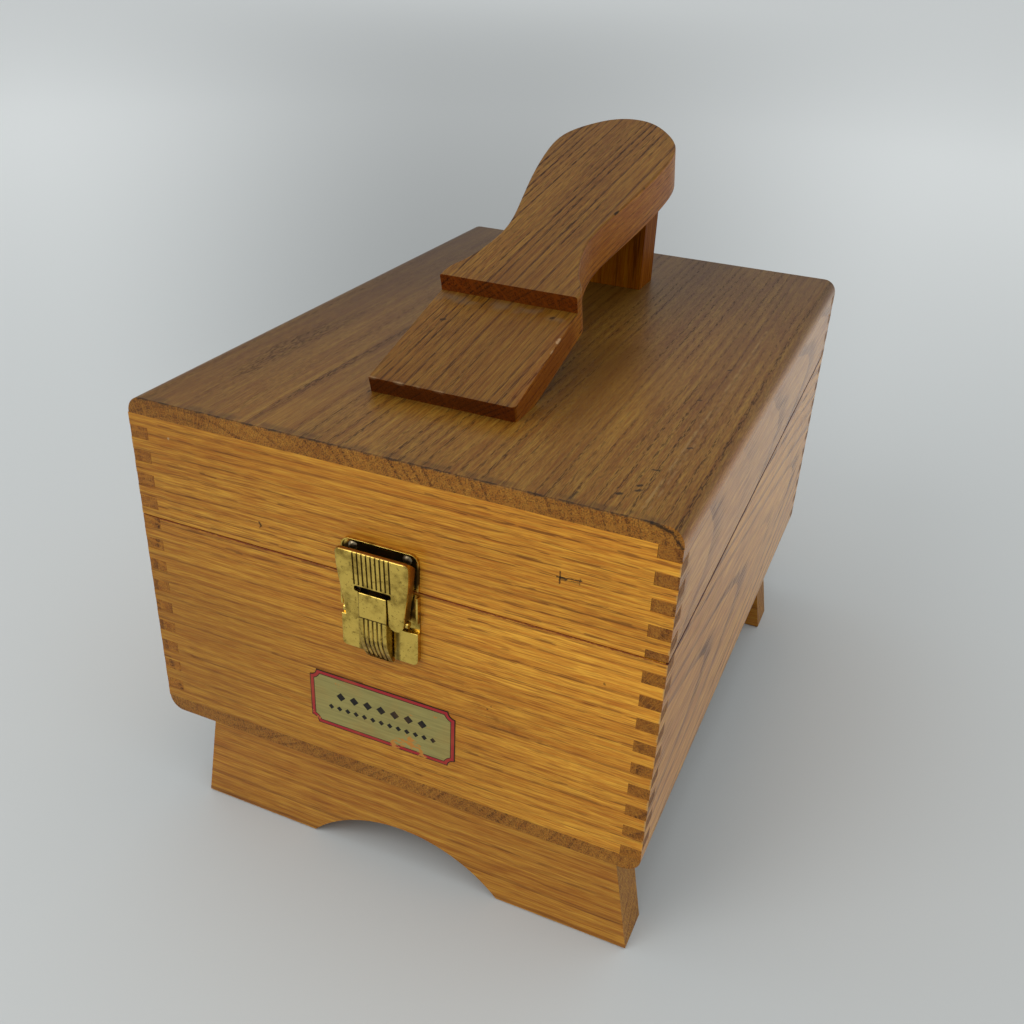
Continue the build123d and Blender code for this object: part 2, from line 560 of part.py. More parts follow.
def main():
    """Build every piece and write it to parts/NAME.step."""
    pieces = {**walls("base"), **walls("lid")}
    pieces["bottom_panel"] = panel(BOX_BOTTOM, WALL_BOTTOM, BOX_BOTTOM)
    pieces["lid_top_panel"] = panel(WALL_TOP, BOX_TOP, BOX_TOP)
    front_foot_y = FRONT + FRONT_FOOT_SETBACK
    rear_foot_y = BACK - REAR_FOOT_SETBACK - FOOT_THICK
    pieces["front_foot"] = foot(front_foot_y)
    pieces["rear_foot"] = foot(rear_foot_y)
    foot_screws = [Pos(FOOT_SHIFT + x, y + FOOT_THICK / 2, WALL_BOTTOM) * screw(WOOD_SCREW)
                   for y in (front_foot_y, rear_foot_y) for x in (-FOOT_SCREW_X, FOOT_SCREW_X)]
    post_y = MIDDLE_Y + POST_FRONT + POST_THICK / 2
    post_screws = [Pos(x, post_y, WALL_TOP) * Rot(180, 0, 0) * screw(WOOD_SCREW)
                   for x in (-POST_SCREW_X, POST_SCREW_X)]
    heel_x, heel_y = HEEL_SCREW_PLACE
    heel_screws = [Pos(x, MIDDLE_Y + heel_y, WALL_TOP) * Rot(180, 0, 0) * screw(SHORT_SCREW)
                   for x in (-heel_x, heel_x)]
    pieces["footrest_sole"] = minus(footrest_sole(), heel_screws)
    pieces["footrest_post"] = minus(footrest_post(), post_screws)
    for node in ("bottom_panel", "front_foot", "rear_foot"):
        pieces[node] = minus(pieces[node], foot_screws)
    pieces["lid_top_panel"] = minus(pieces["lid_top_panel"], post_screws + heel_screws)

    keeper_rivets = [rivet(LATCH_X + x, up, PLATE) for x, up in KEEPER_RIVETS]
    base_rivets = [rivet(LATCH_X + x, up, PLATE) for x, up in BASE_RIVETS]
    pieces["latch_base_plate"] = minus(latch_base_plate(), base_rivets + pivot_rivets())
    pieces["latch_keeper_plate"] = minus(latch_keeper_plate(), keeper_rivets)
    pieces["latch_hasp"] = latch_hasp()
    pieces["hasp_hook"] = hasp_hook()
    pieces["latch_tongue"] = latch_tongue()
    pieces["latch_thumb_slide"] = latch_thumb_slide()
    pieces["front_label"] = front_label()

    base_screws, lid_screws = hinge_screws(-1), hinge_screws(1)
    for name, x in (("left", -HINGE_X), ("right", HINGE_X)):
        pieces[f"{name}_hinge_base_leaf"] = minus(hinge_leaf(x, -1), base_screws)
        pieces[f"{name}_hinge_lid_leaf"] = minus(hinge_leaf(x, 1), lid_screws)
        pieces[f"{name}_hinge_pin"] = hinge_pin(x)
    pieces["base_front_board"] = minus(pieces["base_front_board"], base_rivets)
    pieces["lid_front_board"] = minus(pieces["lid_front_board"], keeper_rivets)
    pieces["base_back_board"] = minus(pieces["base_back_board"], base_screws)
    pieces["lid_back_board"] = minus(pieces["lid_back_board"], lid_screws)

    groups = {"foot_screws": foot_screws, "post_screws": post_screws, "heel_screws": heel_screws,
              "latch_base_rivets": base_rivets, "latch_keeper_rivets": keeper_rivets,
              "latch_pivot_rivets": pivot_rivets(), "hinge_base_screws": base_screws,
              "hinge_lid_screws": lid_screws}
    for node, solids in groups.items():
        pieces[node] = Compound(children=[s.solid() for s in solids])

    os.makedirs("parts", exist_ok=True)
    for node, piece in pieces.items():
        piece.label = node
        export_step(piece, f"parts/{node}.step")
        print(f"{node}: {piece.volume / 1000:.2f} cm3")
    print(f"box top {BOX_TOP:.2f}, seam {SEAM_FRONT:.2f} to {SEAM_BACK:.2f}, front {FRONT:.2f}")


main()
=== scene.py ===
"""Looks of a wooden shoe shine box: varnished oak, a worn brass catch and a bare printed label.

Each sub-assembly is a class that dresses its own nodes of the frame and adds the pieces that only
show. Lengths are in metres in the row frame, and the constant MM turns millimetres into them.
"""

import json
import logging
import math
from dataclasses import dataclass
from enum import Enum

import bmesh
import bpy
from mathutils import Matrix, Vector

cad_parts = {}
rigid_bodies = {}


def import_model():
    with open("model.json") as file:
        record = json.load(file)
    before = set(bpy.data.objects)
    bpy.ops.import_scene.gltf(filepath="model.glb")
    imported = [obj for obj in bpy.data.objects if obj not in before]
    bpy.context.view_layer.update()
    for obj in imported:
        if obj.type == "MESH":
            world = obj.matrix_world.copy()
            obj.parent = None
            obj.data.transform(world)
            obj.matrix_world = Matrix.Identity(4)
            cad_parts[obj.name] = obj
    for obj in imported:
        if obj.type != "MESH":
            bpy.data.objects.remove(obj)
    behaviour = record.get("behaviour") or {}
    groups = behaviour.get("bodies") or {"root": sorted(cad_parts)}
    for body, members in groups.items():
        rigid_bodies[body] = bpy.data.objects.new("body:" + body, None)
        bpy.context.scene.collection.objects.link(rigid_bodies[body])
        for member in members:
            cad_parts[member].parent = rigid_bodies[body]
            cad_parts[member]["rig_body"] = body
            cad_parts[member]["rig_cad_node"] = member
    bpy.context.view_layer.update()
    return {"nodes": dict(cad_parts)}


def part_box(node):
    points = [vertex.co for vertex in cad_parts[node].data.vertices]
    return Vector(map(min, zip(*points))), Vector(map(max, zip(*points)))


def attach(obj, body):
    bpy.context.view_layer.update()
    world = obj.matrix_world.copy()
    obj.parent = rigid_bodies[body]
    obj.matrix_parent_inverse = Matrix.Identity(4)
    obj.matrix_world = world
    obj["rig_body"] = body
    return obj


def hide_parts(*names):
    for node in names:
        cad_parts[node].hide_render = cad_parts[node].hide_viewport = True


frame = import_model()

LOG = logging.getLogger("shoe_shine_box")
MM = 0.001
Colour = tuple[float, float, float]
Point = tuple[float, float, float]
Pair = tuple[float, float]
Socket = bpy.types.NodeSocket
Material = bpy.types.Material
Signal = float | Colour | Socket

# Faces of the box that marks and finishes are placed on, read from the frame in millimetres.
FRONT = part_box("base_front_board")[0].y / MM
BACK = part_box("base_back_board")[1].y / MM
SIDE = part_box("lid_top_panel")[1].x / MM
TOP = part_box("lid_top_panel")[1].z / MM

# Slope of the sole, and how far its fibres run off its middle line, in radians.
SOLE_SLOPE = math.atan(0.29)
SOLE_SKEW = 0.12


class Graph:
    """The node tree of one material, built a node at a time around a Principled shader."""

    def __init__(self, name: str) -> None:
        """Start the material.

        Args:
            name: name of the new material.
        """
        self.material = bpy.data.materials.new(name)
        self.material.use_nodes = True
        self.tree = self.material.node_tree
        self.tree.nodes.clear()
        self.shader = self.add("ShaderNodeBsdfPrincipled")
        output = self.add("ShaderNodeOutputMaterial")
        self.tree.links.new(self.shader.outputs[0], output.inputs["Surface"])
        self.place = self.add("ShaderNodeTexCoord").outputs["Object"]

    def add(self, kind: str, **settings: object) -> bpy.types.Node:
        """Add a node.

        Args:
            kind: Blender's name of the node type.
            settings: properties to set on it.

        Returns:
            The new node.
        """
        node = self.tree.nodes.new(kind)
        for name, value in settings.items():
            setattr(node, name, value)
        return node

    def feed(self, socket: Socket, value: Signal) -> None:
        """Link a socket to another, or set its own value.

        Args:
            socket: the input.
            value: an output socket, a number, or a colour or vector.
        """
        if isinstance(value, Socket):
            self.tree.links.new(value, socket)
        elif socket.type == "RGBA":
            socket.default_value = (*value, 1.0)
        else:
            socket.default_value = value

    def finish(self, **sockets: Signal) -> Material:
        """Set the shader's inputs.

        Args:
            sockets: input names in lower case with _ for spaces, and their values.

        Returns:
            The finished material.
        """
        for name, value in sockets.items():
            self.feed(self.shader.inputs[name.replace("_", " ").title().replace("Ior", "IOR")], value)
        return self.material

    def math(self, operation: str, a: Signal, b: Signal = 0.0, clamp: bool = False) -> Socket:
        """One arithmetic step.

        Args:
            operation: Blender's name of the operation.
            a: first number.
            b: second number, where the operation has one.
            clamp: keep the result between 0 and 1.

        Returns:
            The result.
        """
        node = self.add("ShaderNodeMath", operation=operation, use_clamp=clamp)
        self.feed(node.inputs[0], a)
        self.feed(node.inputs[1], b)
        return node.outputs[0]

    def vector(self, operation: str, *values: Signal, output: str = "Vector") -> Socket:
        """One step of vector arithmetic.

        Args:
            operation: Blender's name of the operation.
            values: the vectors it works on.
            output: Vector or Value.

        Returns:
            The result.
        """
        node = self.add("ShaderNodeVectorMath", operation=operation)
        for socket, value in zip(node.inputs, values):
            self.feed(socket, value)
        return node.outputs[output]

    def measure(self, operation: str, *values: Signal) -> Socket:
        """One step of vector arithmetic that gives a number, such as LENGTH."""
        return self.vector(operation, *values, output="Value")

    def scaled(self, vector: Signal, factor: Signal) -> Socket:
        """A vector or colour times a number.

        Args:
            vector: the vector or colour.
            factor: the number.

        Returns:
            The product.
        """
        node = self.add("ShaderNodeVectorMath", operation="SCALE")
        self.feed(node.inputs[0], vector)
        self.feed(node.inputs["Scale"], factor)
        return node.outputs[0]

    def fade(self, value: Signal, start: float, end: float, low: float = 0.0,
             high: float = 1.0) -> Socket:
        """A smooth change from low, where value is at start, to high, where it is at end.

        Args:
            value: what the change follows.
            start: value at which it begins.
            end: value at which it is complete.
            low: result before start.
            high: result after end.

        Returns:
            The result.
        """
        node = self.add("ShaderNodeMapRange", interpolation_type="SMOOTHSTEP")
        for socket, number in zip(node.inputs, (value, start, end, low, high)):
            self.feed(socket, number)
        return node.outputs[0]

    def mix(self, amount: Signal, a: Signal, b: Signal, way: str = "MIX") -> Socket:
        """Mix two colours.

        Args:
            amount: 0 gives a, 1 gives b.
            a: first colour.
            b: second colour.
            way: Blender's name of the blend type.

        Returns:
            The mixed colour.
        """
        node = self.add("ShaderNodeMix", data_type="RGBA", blend_type=way)
        self.feed(node.inputs["Factor"], amount)
        for socket, value in zip((node.inputs[6], node.inputs[7]), (a, b)):
            self.feed(socket, value)
        return node.outputs[2]

    def noise(self, where: Signal, stretch: Point, detail: float = 2.0, rough: float = 0.5,
              output: str = "Fac") -> Socket:
        """Cloudy noise.

        Args:
            where: coordinates in metres.
            stretch: how many features there are to the metre along each axis.
            detail: octaves.
            rough: weight of the finer octaves.
            output: Fac for one number, Color for three.

        Returns:
            The noise, from 0 to 1.
        """
        scaled = self.vector("MULTIPLY", where, stretch)
        node = self.add("ShaderNodeTexNoise")
        self.feed(node.inputs["Vector"], scaled)
        self.feed(node.inputs["Scale"], 1.0)
        self.feed(node.inputs["Detail"], detail)
        self.feed(node.inputs["Roughness"], rough)
        return node.outputs[output]

    def strayed(self, where: Socket, stretch: Point, reach: Point, detail: float = 2.0,
                rough: float = 0.5) -> Socket:
        """Coordinates that noise has moved about.

        Args:
            where: coordinates in metres.
            stretch: how many features the noise has to the metre along each axis.
            reach: how far apart the noise can move two points along each axis, in metres.
            detail: octaves.
            rough: weight of the finer octaves.

        Returns:
            The moved coordinates.
        """
        shift = self.noise(where, stretch, detail, rough, "Color")
        centred = self.vector("SUBTRACT", shift, (0.5, 0.5, 0.5))
        return self.vector("MULTIPLY_ADD", centred, reach, where)

    def facing(self, direction: Point, start: float = 0.55, end: float = 0.8) -> Socket:
        """1 where the surface is square to a direction, and 0 where it lies along it.

        Args:
            direction: the direction, or its opposite.
            start: cosine of the angle between them at which the result leaves 0.
            end: cosine at which it reaches 1.

        Returns:
            The result.
        """
        normal = self.add("ShaderNodeTexCoord").outputs["Normal"]
        share = self.measure("DOT_PRODUCT", normal, direction)
        return self.fade(self.math("ABSOLUTE", share), start, end)

    def bump(self, height: Signal, depth: float, strength: float = 0.5) -> Socket:
        """Relief in the surface.

        Args:
            height: 0 to 1.
            depth: metres between 0 and 1.
            strength: share of it that shows.

        Returns:
            The normal.
        """
        node = self.add("ShaderNodeBump")
        self.feed(node.inputs["Height"], height)
        self.feed(node.inputs["Distance"], depth)
        self.feed(node.inputs["Strength"], strength)
        return node.outputs[0]


@dataclass(frozen=True)
class Mark:
    """A stain, scratch, chip or line of dirt, or a painted shade, shadow, highlight or reflection, along
    a straight line in the surface.

    Attributes:
        start, end: its two ends in millimetres.
        radius: half its width in millimetres.
        colour: what it turns the surface to.
        strength: how much, from 0 to 1.
        soft: width of its faded edge in millimetres.
        patch: length of the patches it is broken into, in millimetres, or 0 where it is whole.
    """

    start: Point
    end: Point
    radius: float
    colour: Colour
    strength: float = 0.8
    soft: float = 0.6
    patch: float = 0.0

    def mask(self, graph: Graph, where: Socket) -> Socket:
        """Where the mark is.

        Args:
            graph: the material.
            where: coordinates in metres, made ragged.

        Returns:
            Its strength at each point.
        """
        start, end = Vector(self.start) * MM, Vector(self.end) * MM
        offset = graph.vector("SUBTRACT", where, tuple(start))
        along = end - start
        if along.length > 0:
            per_length = tuple(along / along.length_squared)
            share = graph.measure("DOT_PRODUCT", offset, per_length)
            inside = graph.math("ADD", share, 0.0, clamp=True)
            offset = graph.vector("SUBTRACT", offset, graph.scaled(tuple(along), inside))
        distance = graph.measure("LENGTH", offset)
        outer, inner = self.radius + self.soft / 2, max(self.radius - self.soft / 2, 0.0)
        mask = graph.fade(distance, outer * MM, inner * MM, 0.0, self.strength)
        if self.patch:
            patches = graph.noise(graph.place, (1.0 / (self.patch * MM),) * 3, 2.0)
            mask = graph.math("MULTIPLY", mask, graph.fade(patches, 0.42, 0.6))
        return mask


def painted(graph: Graph, colour: Socket, marks: tuple[Mark, ...],
            ragged: float) -> tuple[Socket, Signal]:
    """Put marks on a surface.

    Args:
        graph: the material.
        colour: colour of the clean surface.
        marks: what to put on it, in order.
        ragged: how far the marks' edges stray, in millimetres.

    Returns:
        The marked colour, and how much of the surface the marks cover, from 0 to 1.
    """
    cover: Signal = 0.0
    if not marks:
        return colour, cover
    moved = graph.strayed(graph.place, (500.0, 500.0, 500.0), (2 * ragged * MM,) * 3, 4.0, 0.7)
    for mark in marks:
        mask = mark.mask(graph, moved)
        colour = graph.mix(mask, colour, mark.colour)
        cover = graph.math("MAXIMUM", mask, cover)
    return colour, cover


class Grain(Enum):
    """Which way the wood's fibres run: the turn that brings them onto X, and their direction."""

    ALONG_X = ((0.0, 0.0, 0.0), (1.0, 0.0, 0.0))
    ALONG_Y = ((0.0, 0.0, -math.pi / 2), (0.0, 1.0, 0.0))
    UPRIGHT = ((0.0, math.pi / 2, 0.0), (0.0, 0.0, 1.0))
    UP_THE_SOLE = ((-SOLE_SLOPE, 0.0, -math.pi / 2 + SOLE_SKEW),
                   (0.0, math.cos(SOLE_SLOPE), math.sin(SOLE_SLOPE)))


# Light and dark streaks along the fibres: how many there are to the metre along and across them, and
# what the colour is multiplied by in the dark and in the light ones. The dark ones are redder.
STREAKS: tuple[tuple[Point, Colour, Colour], ...] = (
    ((5.0, 22.0, 22.0), (0.88, 0.85, 0.8), (1.1, 1.12, 1.15)),
    ((9.0, 380.0, 380.0), (0.88, 0.79, 0.68), (1.11, 1.17, 1.25)),
    ((70.0, 1400.0, 1400.0), (0.84, 0.7, 0.56), (1.15, 1.26, 1.38)),
)
STREAK_LEVELS = (0.32, 0.68)  # noise at which a streak is darkest and lightest
WANDER = (3.0, 16.0, 16.0)  # features to the metre in the rings' wandering
RING_OPENS = (0.0, 0.05)  # shares of a ring between which the wood opens, and closes again
RING_CLOSES = (0.08, 0.5)
WEAKEST_RING = 0.25  # share of its full strength that the weakest ring has
FINE_PORE_LEVELS = (0.57, 0.63)  # noise at which a fine pore begins and is full
BOLD_PORE_LEVELS = (0.65, 0.69)  # the same for a larger pore
PORE_DEPTH = 0.25 * MM
VARNISH_DIP = 0.08 * MM  # how deep the varnish sinks over a pore
RAYS_OUTWARD = 120.0  # features to the metre along the rays of the end grain
RAYS_AROUND = 110.0  # features to the radian across them
MARKED_COAT = 0.1  # share of the varnish that is left under a full mark
END_COAT = 0.35  # share of the varnish that end grain keeps


@dataclass(frozen=True)
class Oak:
    """Varnished ring-porous wood, solid all through, so that faces and ends agree.

    Attributes:
        name: name of the material.
        late, early: colours of the dense and of the open part of a year ring.
        pore: colour of the open pores.
        grain: which way the fibres run.
        heart: where the tree's heart lies across the grain, in millimetres from the row's origin,
            in the two directions square to the fibres.
        ring: width of a year ring in millimetres.
        taper: how much a ring widens along the grain.
        waver: how far the rings wander, in millimetres.
        contrast: strength of the rings' colours.
        pores: strength of the pores.
        dash: length and width of a pore in millimetres.
        end_tint: what the end grain's colour is multiplied by.
        tone_ends: what the colour is multiplied by at the low and the high end of tone_span.
        tone_span: two places, in millimetres along tone_axis, between which the colour changes.
        tone_axis: direction in which it changes.
        flank_light: painted light, what the colour is multiplied by on faces that look sideways from up.
        flank_coat: what the varnish is multiplied by there.
        up: direction that the piece's main face looks in.
        gloss: how strongly the bare wood under the varnish reflects.
        density: 0 for the usual number of pores, above it for more.
        bold: strength of the few larger pores.
        coat: strength of the varnish.
        coat_roughness: how blurred the varnish reflects.
        marks: what has happened to the surface, and painted shade, highlights and reflections.
    """

    name: str
    late: Colour
    early: Colour
    pore: Colour
    grain: Grain
    heart: Pair
    ring: float = 4.0
    taper: float = 0.0
    waver: float = 3.0
    contrast: float = 0.7
    pores: float = 0.7
    dash: Pair = (14.0, 1.1)
    end_tint: Colour = (0.5, 0.42, 0.4)
    tone_ends: Pair = (1.0, 1.0)
    tone_span: Pair = (-100.0, 100.0)
    tone_axis: Point = (1.0, 0.0, 0.0)
    flank_light: Colour = (1.0, 1.0, 1.0)
    flank_coat: float = 1.0
    up: Point = (0.0, 0.0, 1.0)
    gloss: float = 0.12
    density: float = 0.0
    bold: float = 1.0
    coat: float = 0.5
    coat_roughness: float = 0.25
    marks: tuple[Mark, ...] = ()

    def material(self) -> Material:
        """Build the material.

        Returns:
            The material.
        """
        g = Graph(self.name)
        turned = g.add("ShaderNodeMapping")
        g.feed(turned.inputs["Vector"], g.place)
        g.feed(turned.inputs["Rotation"], self.grain.value[0])
        fibre = turned.outputs[0]
        from_heart = self.from_heart(g, fibre)
        early = self.early_wood(g, fibre, from_heart)
        pores = self.open_pores(g, fibre, early)
        colour = g.mix(g.math("MULTIPLY", early, self.contrast), self.late, self.early)
        # Colour made lighter or darker along one direction.
        colour = g.scaled(colour, self.age(g))
        for stretch, low, high in STREAKS:
            clouds = g.noise(fibre, stretch, 3.0, 0.6)
            tint = g.mix(g.fade(clouds, *STREAK_LEVELS), low, high)
            colour = g.mix(1.0, colour, tint, "MULTIPLY")
        colour = g.mix(pores, colour, self.pore)
        # Painted light: faces that look sideways from up get a colour of their own, lighter or darker
        # than the main face.
        flank_light = g.mix(1.0, colour, self.flank_light, "MULTIPLY")
        upward = g.facing(self.up, 0.0, 0.75)
        flat = g.mix(upward, flank_light, colour)
        cut = g.facing(self.grain.value[1])
        colour = g.mix(cut, flat, self.end_colour(g, fibre, from_heart, colour))
        colour, cover = painted(g, colour, self.marks, ragged=0.7)
        varnish = g.fade(upward, 0.0, 1.0, self.flank_coat * self.coat, self.coat)
        varnish = g.math("MULTIPLY", varnish, g.fade(cover, 0.0, 1.0, 1.0, MARKED_COAT))
        varnish = g.math("MULTIPLY", varnish, g.fade(cut, 0.0, 1.0, 1.0, END_COAT))
        height = g.math("SUBTRACT", 1.0, pores)
        return g.finish(base_color=colour, roughness=g.fade(pores, 0.0, 1.0, 0.45, 0.75),
                        normal=g.bump(height, PORE_DEPTH), specular_ior_level=self.gloss,
                        coat_weight=varnish, coat_roughness=self.coat_roughness,
                        coat_normal=g.bump(height, VARNISH_DIP))

    def age(self, g: Graph) -> Socket:
        """What the colour is multiplied by, lighter or darker from one end to the other along tone_axis.
        """
        along = g.measure("DOT_PRODUCT", g.place, self.tone_axis)
        return g.fade(along, self.tone_span[0] * MM, self.tone_span[1] * MM, *self.tone_ends)

    def from_heart(self, g: Graph, fibre: Socket) -> Socket:
        """Place across the grain, measured from the tree's heart, with the rings' wandering in it.

        Args:
            g: the material.
            fibre: coordinates with the fibres along X.

        Returns:
            The place, with nothing along X.
        """
        moved = g.strayed(fibre, WANDER, (0.0, 2 * self.waver * MM, 2 * self.waver * MM))
        heart = (0.0, self.heart[0] * MM, self.heart[1] * MM)
        offset = g.vector("SUBTRACT", moved, heart)
        return g.vector("MULTIPLY", offset, (0.0, 1.0, 1.0))

    def early_wood(self, g: Graph, fibre: Socket, from_heart: Socket) -> Socket:
        """Year rings: 1 in the open wood that starts a ring, falling to 0 in the dense wood.

        Args:
            g: the material.
            fibre: coordinates with the fibres along X.
            from_heart: place across the grain.

        Returns:
            How open the wood is.
        """
        radius = g.measure("LENGTH", from_heart)
        along = g.measure("DOT_PRODUCT", fibre, (self.taper, 0.0, 0.0))
        rings = g.math("DIVIDE", g.math("ADD", radius, along), self.ring * MM)
        age = g.math("FRACT", rings)
        year = g.add("ShaderNodeTexWhiteNoise", noise_dimensions="1D")
        g.feed(year.inputs["W"], g.math("FLOOR", rings))
        vigour = g.fade(year.outputs["Value"], 0.0, 1.0, WEAKEST_RING, 1.0)
        opening = g.fade(age, *RING_OPENS)
        closing = g.fade(age, *RING_CLOSES, 1.0, 0.0)
        return g.math("MULTIPLY", g.math("MULTIPLY", opening, closing), vigour)

    def open_pores(self, g: Graph, fibre: Socket, early: Socket) -> Socket:
        """Long fine pores, thickest in the open part of each ring.

        Args:
            g: the material.
            fibre: coordinates with the fibres along X.
            early: how open the wood is.

        Returns:
            0 for wood, 1 for a pore.
        """
        along, across = (1.0 / (size * MM) for size in self.dash)
        fine = g.noise(fibre, (along, across, across), 0.0)
        bold = g.noise(fibre, (along * 0.6, across * 0.7, across * 0.7), 0.0)
        ground = g.noise(fibre, (8.0, 30.0, 30.0), 1.0)
        fine_levels = (level - self.density for level in FINE_PORE_LEVELS)
        bold_levels = (level - self.density / 2 for level in BOLD_PORE_LEVELS)
        fine_mask = g.math("MULTIPLY", g.fade(fine, *fine_levels), 0.75)
        bold_mask = g.fade(bold, *bold_levels, 0.0, self.bold)
        both = g.math("MAXIMUM", fine_mask, bold_mask)
        in_ring = g.fade(early, 0.0, 0.6, 0.35, 1.0)
        where = g.math("MULTIPLY", in_ring, g.fade(ground, 0.35, 0.6, 0.45, 1.0))
        return g.math("MULTIPLY", g.math("MULTIPLY", both, where), self.pores, clamp=True)

    def end_colour(self, g: Graph, fibre: Socket, from_heart: Socket, colour: Socket) -> Socket:
        """Colour of the end grain: darker, with cut pores and pale rays that point to the heart.

        Args:
            g: the material.
            fibre: coordinates with the fibres along X.
            from_heart: place across the grain.
            colour: colour of the long grain.

        Returns:
            The colour.
        """
        parts = g.add("ShaderNodeSeparateXYZ")
        g.feed(parts.inputs[0], from_heart)
        angle = g.math("ARCTAN2", parts.outputs["Y"], parts.outputs["Z"])
        reach = g.measure("LENGTH", from_heart)
        polar = g.add("ShaderNodeCombineXYZ")
        g.feed(polar.inputs["X"], g.math("MULTIPLY", reach, RAYS_OUTWARD))
        g.feed(polar.inputs["Y"], g.math("MULTIPLY", angle, RAYS_AROUND))
        rays = g.noise(polar.outputs[0], (1.0, 1.0, 1.0), 1.0)
        speck = g.noise(fibre, (0.0, 1500.0, 1500.0), 1.0)
        dark = g.mix(1.0, colour, self.end_tint, "MULTIPLY")
        dotted = g.mix(g.fade(speck, 0.5, 0.62, 0.0, 0.5), dark, self.pore)
        light = g.mix(1.0, self.late, self.end_tint, "MULTIPLY")
        return g.mix(g.fade(rays, 0.54, 0.64, 0.0, 0.6), dotted, g.scaled(light, 1.25))


@dataclass(frozen=True)
class Metal:
    """Worn metal: bright where it is rubbed, dull and stained elsewhere.

    Attributes:
        name: name of the material.
        bright, stained: its two colours.
        stain: share of the surface that is stained, from 0 to 1.
        polish: roughness where it is bright.
        marks: grime, and painted shade and reflections.
    """

    name: str
    bright: Colour
    stained: Colour
    stain: float = 0.5
    polish: float = 0.2
    marks: tuple[Mark, ...] = ()

    def material(self) -> Material:
        """Build the material.

        Returns:
            The material.
        """
        g = Graph(self.name)
        cloud = g.noise(g.place, (110.0, 110.0, 110.0), 5.0, 0.6)
        speck = g.noise(g.place, (800.0, 800.0, 800.0), 2.0)
        middle = 0.68 - 0.3 * self.stain  # noise at which bright turns to stained
        dull = g.fade(cloud, middle - 0.12, middle + 0.16)
        colour = g.mix(dull, self.bright, self.stained)
        colour = g.mix(g.fade(speck, 0.6, 0.7, 0.0, 0.55), colour, g.scaled(self.stained, 0.45))
        colour, cover = painted(g, colour, self.marks, ragged=0.15)
        smooth = g.fade(dull, 0.0, 1.0, self.polish, self.polish + 0.14)
        roughness = g.math("MAXIMUM", smooth, g.math("MULTIPLY", cover, 0.5))
        height = g.noise(g.place, (220.0, 220.0, 220.0), 3.0)
        return g.finish(base_color=colour, roughness=roughness, metallic=1.0,
                        normal=g.bump(height, 0.05 * MM))


